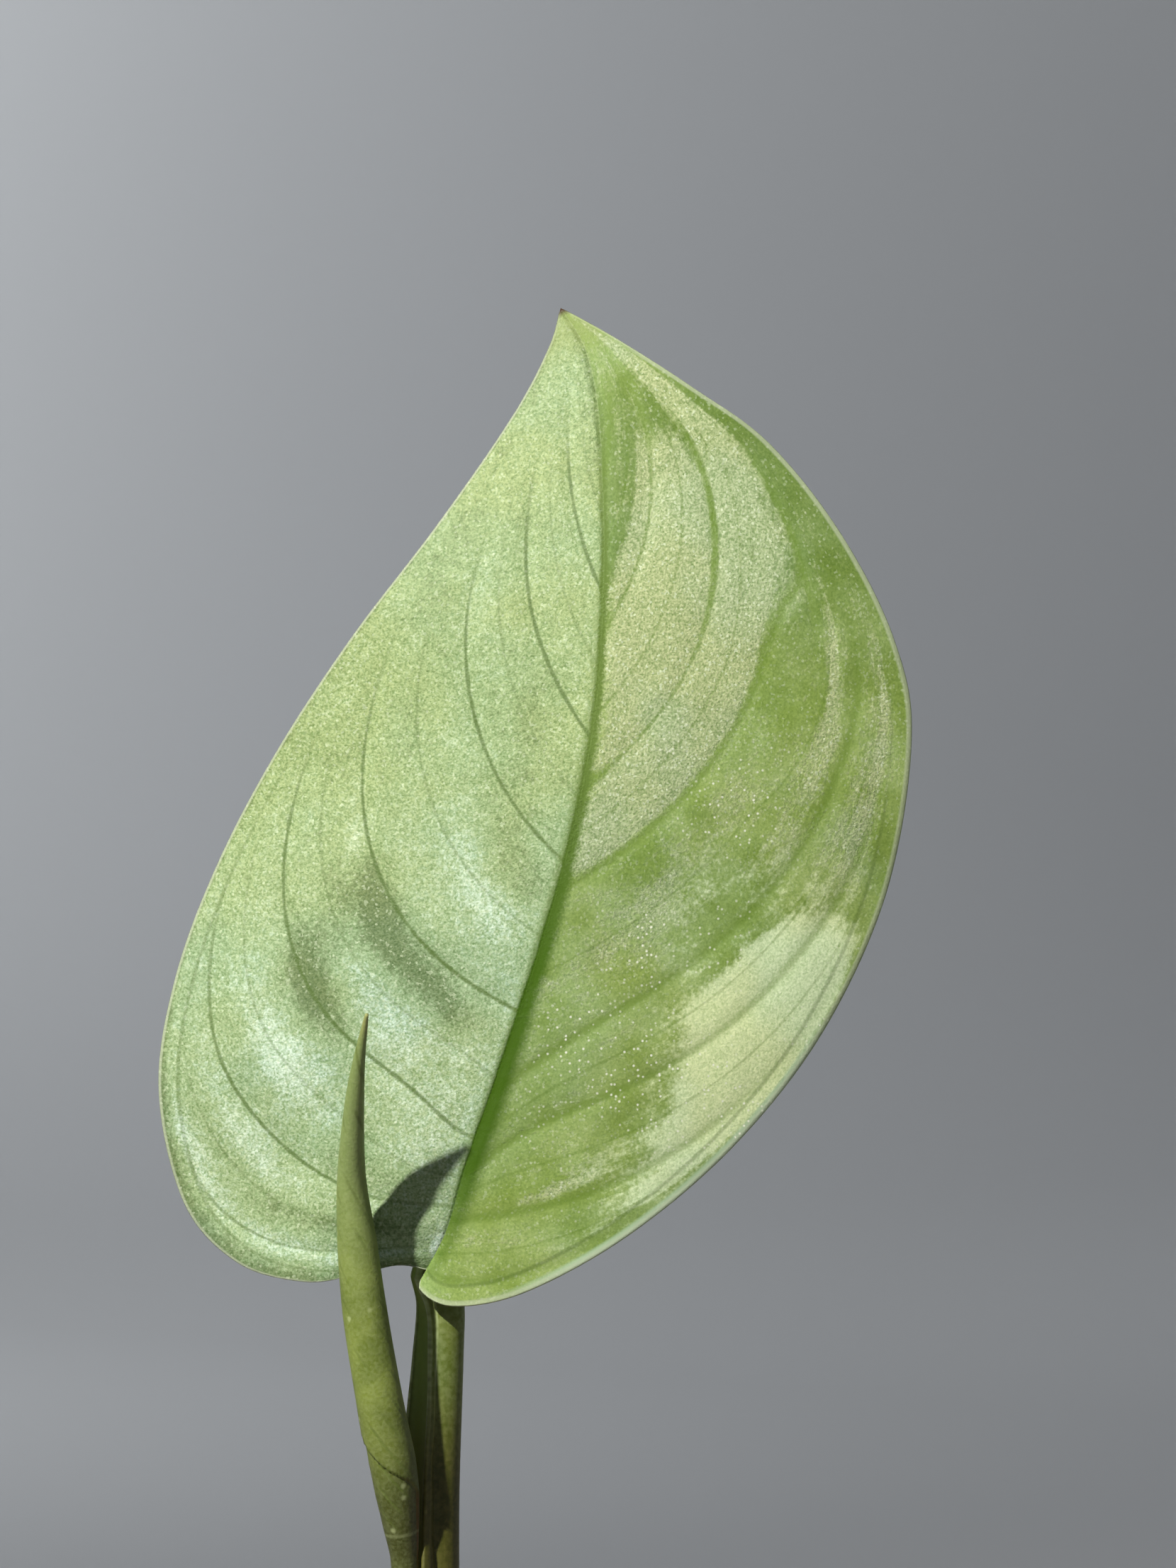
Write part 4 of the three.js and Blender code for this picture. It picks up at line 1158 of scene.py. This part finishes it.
# On the right the veins leave the midrib steeply and spread apart near the edge. Each pair is a plain
# station, and the station of the vein that is really there.
VEIN_FOOT = [(-1, -1), (0.055, 0.055), (0.108, 0.15), (0.195, 0.235), (0.33, 0.33), (2, 2)]
VEIN_SWING = [(-1, -1), (0.235, 0.235), (0.27, 0.26), (0.32, 0.4), (0.5, 0.5), (2, 2)]
VEIN_SAG = (0.14, 0.085, 0.6, 0.04)  # the left half's veins droop here: station, width, reach, amount
VEIN_REACH = {"left": (0.45, 0.65), "right": (0.44, 0.85)}  # a vein fades at this share, later by its station
MARGIN_BAND = {  # how wide the edge is without silver, in millimetres, along the blade
    "left": [(0, 2.3), (0.12, 2.0), (0.25, 1.1), (0.4, 0.35), (1, 0.3)],
    "right": [(0, 1.4), (0.16, 0.6), (0.28, 0.3), (0.42, 0.6), (0.5, 1.5), (0.75, 1.4), (0.9, 0.5), (1, 0.3)],
}
# Silver: how much each side has, and the clouds that add to it or take from it. The left's larger share is
# partly painted sheen, where that half faces the lamp. A cloud lies at a station and at a reach out from the
# midrib, is so wide and so long in those measures, and adds so much.
SILVER_AND_SHEEN = {"left": 0.5, "right": 0.2}
CLOUDS = {
    "left": [
        (0.262, 0.47, 0.022, 0.11, -0.75), (0.255, 0.26, 0.02, 0.14, -0.5), (0.184, 0.6, 0.018, 0.12, -0.6),
        (0.225, 0.6, 0.03, 0.07, -0.25), (0.39, 0.14, 0.03, 0.1, -0.25), (0.35, 0.6, 0.04, 0.15, -0.12),
        (0.3, 0.82, 0.05, 0.12, -0.1), (0.048, 0.62, 0.014, 0.2, -0.35), (0.02, 0.9, 0.012, 0.1, 0.25),
        (0.11, 0.45, 0.014, 0.25, -0.15), (0.16, 0.28, 0.03, 0.16, 0.12), (0.132, 0.66, 0.02, 0.13, 0.42),
        (0.22, 0.36, 0.02, 0.1, 0.15), (0.268, 0.62, 0.018, 0.08, 0.25), (0.07, 0.75, 0.018, 0.14, 0.25),
        (0.95, 0.3, 0.13, 0.6, -0.45), (0.0, 0.6, 0.014, 0.3, 0.2), (0.5, 0.2, 0.05, 0.1, -0.12),
        (0.34, 0.17, 0.03, 0.1, 0.3), (0.36, 0.4, 0.03, 0.2, 0.12), (0.03, 0.08, 0.03, 0.12, 0.6),
        (0.21, 0.3, 0.05, 0.25, 0.2),
    ],
    "right": [
        (0.32, 0.3, 0.06, 0.25, 0.12), (0.285, 0.75, 0.03, 0.06, 0.35), (0.165, 0.9, 0.02, 0.05, 0.35),
        (0.19, 0.25, 0.02, 0.14, -0.15), (0.08, 0.62, 0.012, 0.1, 0.4), (0.066, 0.54, 0.009, 0.12, 0.35),
        (0.03, 0.35, 0.015, 0.15, 0.18), (0.95, 0.5, 0.3, 0.6, 0.22), (0.504, 0.46, 0.01, 0.1, -0.36),
        (0.3, 0.77, 0.03, 0.05, 0.2), (0.263, 0.68, 0.035, 0.09, 0.3), (0.15, 0.9, 0.04, 0.06, 0.2),
        (0.82, 0.05, 0.06, 0.06, -0.2), (0.32, 0.33, 0.05, 0.2, 0.16), (0.19, 0.82, 0.025, 0.07, 0.35),
    ],
}
# Fields that the silver fills, all on the right: from one station to another, out from a reach at each, to a
# last reach, by an amount, up to a last share.
FIELDS = {
    "left": [],
    "right": [
        (0.405, 0.5, 0.012, 0.012, 0.56, 0.7, 1), (0.507, 0.7, 0.03, 0.03, 0.53, 0.7, 0.84),
        (0.405, 0.62, 0.58, 0.58, 0.88, 0.52, 1), (0.012, 0.2, 0.9, 0.55, 0.975, 1.05, 0.43),
    ],
}
FIELD_EDGE = (0.006, 0.025)  # how soft a field's edges are, along the midrib and out from it
LEAF_THROUGH = 0.1  # how much light comes through the blade
GREEN_DEEP = (0.2, 0.295, 0.058, 1)
GREEN_FRESH = (0.305, 0.41, 0.14, 1)
CLOUD_GREEN = (0.13, 0.18, 0.06, 1)
SILVER_MID = (0.27, 0.355, 0.15, 1)
SILVER_BRIGHT = (0.47, 0.575, 0.365, 1)
SILVER_WARM = (0.36, 0.43, 0.215, 1)
SILVER_CREAM = (0.61, 0.715, 0.4, 1)
TINT_WARM = (1.01, 1.0, 0.95, 1)
TINT_COOL = (0.96, 1.0, 1.05, 1)
MINT_SHEEN_TINT = (1.0, 1.03, 1.25, 1)
TINT_HIGH = (0.6, 0.66, 0.6, 1)
VEIN_GREEN = (0.075, 0.13, 0.025, 1)
VEIN_FRESH = (0.1, 0.19, 0.012, 1)
MIDRIB_GREEN_AND_SHADE = (0.045, 0.11, 0.001, 1)
MIDRIB_HIGH = (0.12, 0.19, 0.035, 1)
RIM_PALE = (0.5, 0.55, 0.4, 1)
RIM_MINT = (0.44, 0.6, 0.42, 1)
TIP_YELLOW = (0.25, 0.31, 0.1, 1)
TIP_BROWN = (0.05, 0.025, 0.01, 1)
GLINT_HIGHLIGHT = (0.85, 0.88, 0.72, 1)
SPARKLE_HIGHLIGHT = (0.68, 0.76, 0.54, 1)
BACK_GREEN = (0.27, 0.39, 0.14, 1)
BACK_PALE = (0.36, 0.48, 0.22, 1)
BACK_VEIN = (0.47, 0.58, 0.3, 1)
GRAIN_TINT = (1.05, 0.8, 1.2)  # how far a cell's lightness swings in red, green and blue


def eased(part):
    """0 up to 0, 1 from 1 on, and smooth between."""
    part = np.clip(part, 0, 1)
    return part * part * (3 - 2 * part)


def blade_depth(share, across, side):
    """How far the blade stands back of its base, in millimetres, at a distance across from the midrib."""
    arch = -BLADE_ARCH * np.sin(math.pi * share**0.8) + BLADE_NOD * share**3
    opened = eased(share / 0.25)
    bend = BLADE_SLOPE[side] * across + 0.005 * across**2
    wave = 0.35 * np.sin(14 * share + EDGE_WAVE[side]) * (across / 20) ** 2
    return arch + opened * bend + (1 - opened) * 0.02 * across + wave


def vein_station(share, reach):
    """The station, along the midrib, of the vein that passes through a place on the blade."""
    pull = -np.log(np.maximum(1 - reach, 0.02))
    return (share - VEIN_BEND[0] * pull) / (1 + VEIN_BEND[1] * pull)


def vein_count(station, side):
    """A number that is whole on each main vein and changes smoothly between them."""
    stations = VEIN_STATIONS[side]
    line = smooth_line([(k, value) for k, value in enumerate(stations)], 1500)
    return np.interp(station, line[:, 1], line[:, 0])


def silver_of(side, share, reach, station, edge_distance):
    """How much silver each place of one side has."""
    silver = np.full(share.shape, SILVER_AND_SHEEN[side])
    for at, out, wide, long, amount in CLOUDS[side]:
        silver += amount * np.exp(-(((station - at) / wide) ** 2) - ((reach - out) / long) ** 2)
    for first, last, near_first, near_last, far, amount, last_share in FIELDS[side]:
        near = np.interp(station, [first, last], [near_first, near_last])
        gaps = [station - first, last - station, reach - near, far - reach]
        for gap, softness in zip(gaps, (FIELD_EDGE[0], FIELD_EDGE[0], FIELD_EDGE[1], FIELD_EDGE[1])):
            amount = amount / (1 + np.exp(-np.clip(gap / softness, -30, 30)))
        silver += amount * np.clip((last_share - share) / 0.06 + 0.5, 0, 1)
    return silver * np.clip(edge_distance / at_share(MARGIN_BAND[side], share), 0, 1)


def station_of(side, share, reach):
    """The station of the vein that passes through each place of one side."""
    if side == "left":
        at, wide, far, droop = VEIN_SAG
        return vein_station(share + droop * np.exp(-(((share - at) / wide) ** 2) - (reach / far) ** 2), reach)
    station = vein_station(share, reach)
    station = station + (at_share(VEIN_FOOT, station) - station) * np.exp(-((reach / 0.22) ** 2))
    return station + (at_share(VEIN_SWING, station) - station) * eased((reach - 0.5) / 0.3)


def vein_pitch(count, flat):
    """How far apart the veins are at each place, in millimetres."""
    gaps = []
    for axis in (0, 1):
        step = np.linalg.norm(np.gradient(flat, axis=axis), axis=2)
        gaps.append(np.abs(np.gradient(count, axis=axis)) / np.maximum(step, 1e-3))
    return 1 / np.clip(np.hypot(*gaps), 0.02, 5)


def half_blade(side):
    """One side's grid, rows from base to tip and columns from midrib to edge, with what its finish needs."""
    share = np.linspace(0, 1, BLADE_ROWS + 1)[:, None]
    reach = (np.linspace(0, 1, BLADE_COLUMNS + 1) ** 1.15)[None, :]
    rib = smooth_line(MIDRIB, BLADE_ROWS + 1)[:, None, :]
    edge = smooth_line(EDGES[side], BLADE_ROWS + 1)[:, None, :]
    flat = rib + (edge - rib) * reach[..., None]
    across = np.linalg.norm(flat - rib, axis=2)
    share, reach = np.broadcast_arrays(share, reach)
    edge_distance = (1 - reach) * np.linalg.norm(edge - rib, axis=2)
    station = station_of(side, share, reach)
    count = vein_count(station, side)
    pitch = vein_pitch(count, flat)
    last_share = VEIN_REACH[side][0] + VEIN_REACH[side][1] * station
    fade = np.clip((last_share - share) / 0.12 + 0.5, 0, 1) * np.clip((1 - reach) * 8, 0, 1)
    off_vein = np.abs(count - np.round(count)) * pitch
    quilt = QUILT[side] * np.exp(-((off_vein / 0.55) ** 2)) * np.minimum(across / 2, 1) * fade
    channel = 0.1 * np.exp(-((across / CHANNEL_WIDTH[side]) ** 2)) * np.clip(share / 0.2, 0.1, 1)
    face = blade_depth(share, across, side) + quilt + channel
    swell = MIDRIB_RELIEF * (1 - share) ** 1.3 * np.exp(-((across / 0.8) ** 2))
    thick = BLADE_THICKNESS * (1 - 0.6 * reach**3) + swell
    facts = {"vein": count, "pitch": pitch, "fade": fade, "share": np.array(share), "rim": edge_distance}
    facts["rib"] = -across if side == "left" else across
    facts["silver"] = silver_of(side, share, reach, station, edge_distance)
    return flat, face, face + thick, facts


halves = {side: half_blade(side) for side in ("left", "right")}


def joined(left, right):
    """Both halves as one grid, from the left edge over the midrib to the right edge."""
    return np.concatenate([left[:, :0:-1], right], axis=1)


blade_flat = joined(halves["left"][0], halves["right"][0])
blade_face = joined(halves["left"][1], halves["right"][1])
blade_back = joined(halves["left"][2], halves["right"][2])
blade_facts = {key: joined(halves["left"][3][key], halves["right"][3][key]) for key in halves["left"][3]}


def closed_blade():
    """The blade's vertices, faces and facts: its face, its back, and a rounded rim between them."""
    rows, columns = blade_face.shape
    crumple = np.zeros(blade_face.shape)
    for row, column in np.ndindex(rows, columns):
        place = Vector((*blade_flat[row, column], 0))
        crumple[row, column] = 0.22 * noise.noise(place * 0.11) + 0.05 * noise.noise(place * 0.4)
    steady = np.clip(blade_facts["share"] * 8, 0, 1) * np.clip(np.abs(blade_facts["rib"]) / 4, 0.15, 1)
    crumple *= steady

    def in_space(depth):
        return np.stack([blade_flat[..., 0], depth + crumple, blade_flat[..., 1]], axis=2).reshape(-1, 3)

    face, back = in_space(blade_face), in_space(blade_back)
    grid = np.arange(rows * columns).reshape(rows, columns)
    behind = grid + rows * columns
    faces = []
    for row in range(rows - 1):
        for k in range(columns - 1):
            faces.append((grid[row, k], grid[row, k + 1], grid[row + 1, k + 1], grid[row + 1, k]))
            faces.append((behind[row, k], behind[row + 1, k], behind[row + 1, k + 1], behind[row, k + 1]))
    rim_points, rim_sources = [], []
    for column, inner in ((0, 1), (columns - 1, columns - 2)):
        first = 2 * rows * columns + len(rim_points)
        for row in range(rows):
            middle = (face[grid[row, column]] + back[grid[row, column]]) / 2
            outward = face[grid[row, column]] - face[grid[row, inner]]
            reach = 0.05 / max(np.linalg.norm(outward), 1e-6) if 0 < row < rows - 1 else 0
            rim_points.append(middle + outward * reach)
            rim_sources.append(grid[row, column])
        for row in range(rows - 1):
            here, after = first + row, first + row + 1
            faces.append((grid[row, column], grid[row + 1, column], after, here))
            faces.append((here, after, behind[row + 1, column], behind[row, column]))
    points = np.concatenate([face, back, np.array(rim_points)]) * MM + np.array(leaf_base)
    sources = np.concatenate([grid.ravel(), grid.ravel(), np.array(rim_sources)])
    facts = {key: values.ravel()[sources] for key, values in blade_facts.items()}
    facts["under"] = np.repeat([0.0, 1.0, 0.4], [grid.size, grid.size, len(rim_points)])
    return points, faces, facts


def inverse(tree, value):
    """1 less a value."""
    return math_of(tree, "SUBTRACT", 1.0, value)


def centred(tree, value, times):
    """A value about 0.5 moved to lie about 0, and multiplied."""
    return product(tree, math_of(tree, "SUBTRACT", value, 0.5), times)


def tinted(tree, share, colour, tint):
    """A colour multiplied by a tint, by a share."""
    return blend_colours(tree, share, colour, blend_colours(tree, 1.0, colour, tint, "MULTIPLY"))


def blade_places(tree):
    """What the layers of the blade's skin share: the facts on its vertices, the noises and the cells."""
    names = ("vein", "pitch", "rim", "rib", "fade", "share", "silver", "under")
    at = SimpleNamespace(**{name: fact(tree, name) for name in names})
    at.place = object_place(tree)
    at.skin = plant_skin(tree, 7200.0, 3600.0, 0.3)
    at.left = steps_between(tree, at.rib, 0.06, -0.06)
    at.clouds = noise_of(tree, at.place, 230, 4, 0.6)
    at.patches = noise_of(tree, at.place, 620, 3, 0.6)
    along = {0: product(tree, at.vein, 3.4), 1: product(tree, at.share, 9.0)}
    at.streaks = noise_of(tree, node(tree, "ShaderNodeCombineXYZ", along).outputs[0], 2.2, 4, 0.62)
    # the low field on the right, which is smooth
    at.smooth = steps_between(tree, at.rib, 6.0, 10.0)
    at.smooth = product(tree, at.smooth, steps_between(tree, at.share, 0.52, 0.44))
    return at


def silvered_green(tree, at):
    """The green ground and the silver over it: soft clouds on the left, clear-edged fields on the right. The
    left's bright, bluish foil and the mint tint low on it are partly painted sheen.
    """
    green = blend_colours(tree, steps_between(tree, at.clouds, 0.3, 0.7), GREEN_DEEP, GREEN_FRESH)
    high = product(tree, steps_between(tree, at.share, 0.55, 0.75), steps_between(tree, at.share, 1.0, 0.85))
    green = tinted(tree, high, green, TINT_HIGH)
    loose = scaled(tree, at.clouds, 0.5, math_of(tree, "SUBTRACT", at.silver, 0.25))
    loose = scaled(tree, at.patches, 0.4, math_of(tree, "SUBTRACT", loose, 0.2))
    loose = math_of(tree, "ADD", loose, centred(tree, noise_of(tree, at.place, 3400, 2, 0.6), 0.8))
    broken = scaled(tree, at.streaks, 0.9, math_of(tree, "SUBTRACT", loose, 0.45))
    broken = steps_between(tree, broken, 0.22, 0.72)
    cool = blend_colours(tree, steps_between(tree, loose, 0.0, 0.5), CLOUD_GREEN, SILVER_MID)
    cool = blend_colours(tree, steps_between(tree, loose, 0.45, 1.0), cool, SILVER_BRIGHT)
    creamy = math_of(tree, "MAXIMUM", steps_between(tree, at.silver, 0.9, 1.2), at.smooth)
    warm = blend_colours(tree, broken, green, blend_colours(tree, creamy, SILVER_WARM, SILVER_CREAM))
    colour = blend_colours(tree, at.left, warm, cool)
    coolness = steps_between(tree, noise_of(tree, at.place, 120, 2), 0.4, 0.62)
    colour = blend_colours(tree, 1.0, colour, blend_colours(tree, coolness, TINT_WARM, TINT_COOL), "MULTIPLY")
    low = product(tree, at.left, steps_between(tree, at.share, 0.62, 0.3))
    return tinted(tree, low, colour, MINT_SHEEN_TINT), broken


def foil_grain(tree, at, colour, foil):
    """The foil's cells, each light or dark, and bright flecks among them painted as sparkle highlights."""
    depth = scaled(tree, foil, 0.22, 0.21)
    swing = product(tree, math_of(tree, "SUBTRACT", at.skin["Cells"], 0.5), depth, 2.0)
    swings = [scaled(tree, swing, part, 1.0) for part in GRAIN_TINT]
    grain = node(tree, "ShaderNodeCombineXYZ", enumerate(swings))
    colour = blend_colours(tree, 1.0, colour, grain.outputs[0], "MULTIPLY")
    # painted sparkle: bright flecks over the foil, weaker on the left
    flecked = math_of(tree, "MAXIMUM", foil, scaled(tree, at.smooth, -0.3, 0.4))
    flecks = product(tree, at.skin["Flecks"], flecked, scaled(tree, at.left, -0.22, 0.55))
    return blend_colours(tree, flecks, colour, SPARKLE_HIGHLIGHT)


def vein_distance(tree, at, shift):
    """How far a place is from the nearest whole count of a vein, in millimetres."""
    shifted = math_of(tree, "ADD", at.vein, shift)
    return product(tree, apart(tree, shifted, math_of(tree, "ROUND", shifted)), at.pitch)


def leaf_veins(tree, at, colour):
    """Main veins on whole counts, fine ones on halves, one along the edge, and a mask of the first two."""
    wobble = centred(tree, noise_of(tree, at.place, 1100, 2), 0.16)
    thin = product(tree, steps_between(tree, at.silver, 0.5, 0.75), inverse(tree, at.smooth))
    silvered = math_of(tree, "MAXIMUM", at.left, thin)
    off = math_of(tree, "ADD", vein_distance(tree, at, 0.0), wobble)
    off = math_of(tree, "DIVIDE", off, scaled(tree, silvered, -0.2, 0.37))
    main = inverse(tree, steps_between(tree, off, 0.2, 1.0))
    main = product(tree, main, scaled(tree, at.left, 0.35, 0.6), scaled(tree, at.smooth, -0.25, 1.0))
    faint = product(tree, at.left, steps_between(tree, at.share, 0.22, 0.1), 0.55)
    main = product(tree, main, inverse(tree, faint))
    fine = steps_between(tree, math_of(tree, "ADD", vein_distance(tree, at, 0.5), wobble), 0.13, 0.02)
    lines = math_of(tree, "MAXIMUM", main, product(tree, fine, 0.4))
    strength = scaled(tree, at.streaks, 0.7, 0.45)
    lines = product(tree, lines, at.fade, strength, steps_between(tree, at.rim, 0.5, 1.8))
    lines = product(tree, lines, steps_between(tree, at.share, 0.93, 0.8))
    colour = blend_colours(tree, lines, colour, blend_colours(tree, at.left, VEIN_FRESH, VEIN_GREEN))
    halo = steps_between(tree, vein_distance(tree, at, 0.0), 0.7, 0.1)
    halo = product(tree, halo, at.fade, inverse(tree, silvered), 0.3, scaled(tree, at.smooth, -0.6, 1.0))
    colour = blend_colours(tree, halo, colour, GREEN_DEEP)
    edge_vein = steps_between(tree, apart(tree, at.rim, 1.25), 0.2, 0.04)
    edge_vein = product(tree, edge_vein, steps_between(tree, at.share, 0.75, 0.4), 0.4)
    return blend_colours(tree, edge_vein, colour, VEIN_GREEN), lines


def leaf_midrib(tree, at, colour):
    """A dark green band in its channel, on the right of the foil's edge, wider towards the base: the midrib's
    own green, darkened with painted shade of the channel's right side. A darker green fringe lies on the foil
    to its left.
    """
    width = math_of(tree, "MAXIMUM", scaled(tree, at.share, -2.4, 1.85), 0.36)
    ragged = math_of(tree, "ADD", at.rib, centred(tree, at.patches, 0.3))
    cells = math_of(tree, "SUBTRACT", at.skin["Cells"], 0.5)
    ragged = math_of(tree, "ADD", ragged, product(tree, cells, at.share, 0.3))
    right_side = steps_between(tree, math_of(tree, "DIVIDE", ragged, width), 1.2, 0.35)
    band = product(tree, steps_between(tree, ragged, -0.3, -0.1), right_side)
    band = product(tree, band, steps_between(tree, at.share, 1.0, 0.7))
    band = product(tree, band, steps_between(tree, at.share, -0.05, 0.13), 0.96)
    shoulder = product(tree, at.left, steps_between(tree, ragged, -0.85, -0.2))
    shoulder = product(tree, shoulder, steps_between(tree, at.share, 0.8, 0.5))
    shoulder = product(tree, shoulder, steps_between(tree, at.share, 0.03, 0.14), 0.6)
    colour = blend_colours(tree, shoulder, colour, MIDRIB_HIGH)
    # the band's dark green is partly painted shade of the channel's side
    green = blend_colours(tree, steps_between(tree, at.share, 0.3, 0.6), MIDRIB_GREEN_AND_SHADE, MIDRIB_HIGH)
    return blend_colours(tree, band, colour, green), band


def leaf_rim(tree, at, colour):
    """The pale rim, minty low on the right, and the yellow tip with its dry point."""
    mint = product(tree, steps_between(tree, at.rim, 0.6, 0.35), steps_between(tree, at.rib, 2.0, 6.0))
    mint = product(tree, mint, steps_between(tree, at.share, 0.05, 0.14))
    mint = product(tree, mint, steps_between(tree, at.share, 0.4, 0.33), 0.7)
    colour = blend_colours(tree, mint, colour, RIM_MINT)
    pale = product(tree, steps_between(tree, at.rim, 0.2, 0.07), 0.55)
    right = product(tree, steps_between(tree, at.rim, 0.4, 0.22), steps_between(tree, at.rib, 1.0, 4.0), 0.5)
    colour = blend_colours(tree, math_of(tree, "MAXIMUM", pale, right), colour, RIM_PALE)
    yellow = product(tree, steps_between(tree, at.share, 0.93, 0.99), 0.6)
    colour = blend_colours(tree, yellow, colour, TIP_YELLOW)
    return blend_colours(tree, steps_between(tree, at.share, 0.99, 0.998), colour, TIP_BROWN)


def leaf_painted_glints(tree, at, colour, band):
    """Painted glints: cells painted bright as if they caught the light, most of them on the right's green."""
    sparkling = product(tree, steps_between(tree, at.share, 0.1, 0.3), steps_between(tree, at.share, 0.62, 0.5))
    sparkling = product(tree, sparkling, steps_between(tree, at.rib, 0.5, 2.5))
    shining = steps_between(tree, noise_of(tree, at.place, 130, 2), 0.4, 0.6)
    shining = product(tree, at.skin["Glints"], product(tree, shining, scaled(tree, sparkling, 0.85, 0.12)))
    return blend_colours(tree, product(tree, shining, inverse(tree, band)), colour, GLINT_HIGHLIGHT)


def leaf_back(tree, at, lines):
    """The back: paler and plain, with its veins a little lighter."""
    back = blend_colours(tree, steps_between(tree, at.clouds, 0.3, 0.7), BACK_GREEN, BACK_PALE)
    back = blend_colours(tree, product(tree, lines, 0.6), back, BACK_VEIN)
    rib = steps_between(tree, math_of(tree, "ABSOLUTE", at.rib), 1.0, 0.4)
    return blend_colours(tree, rib, back, BACK_VEIN)


def leaf_skin():
    material, tree, shader = new_material("silver_leaf")
    at = blade_places(tree)
    colour, broken = silvered_green(tree, at)
    foil = product(tree, broken, scaled(tree, at.smooth, -0.85, 1.0))
    # the left is foil nearly everywhere, partly as painted sheen
    foil = math_of(tree, "MAXIMUM", product(tree, at.left, 0.85), foil)
    colour = foil_grain(tree, at, colour, foil)
    colour, lines = leaf_veins(tree, at, colour)
    colour, band = leaf_midrib(tree, at, colour)
    colour = leaf_rim(tree, at, colour)
    colour = leaf_painted_glints(tree, at, colour, band)
    behind = steps_between(tree, at.under, 0.3, 0.9)
    colour = blend_colours(tree, behind, colour, leaf_back(tree, at, lines))
    rough = scaled(tree, at.skin["Cells"], 0.1, scaled(tree, foil, -0.08, 0.54))
    fill(tree, shader, {"Base Color": colour, "Roughness": rough, "Specular IOR Level": 0.2})
    relief = product(tree, at.skin["Height"], scaled(tree, foil, 0.7, 0.3))
    normal = emboss(tree, shader, relief, 0.6, 0.00008)
    let_light_through(tree, shader, colour, normal, LEAF_THROUGH)
    return material


with_facts("leaf_blade_finish", *closed_blade(), leaf_skin(), "leaf_blade", "leaf")
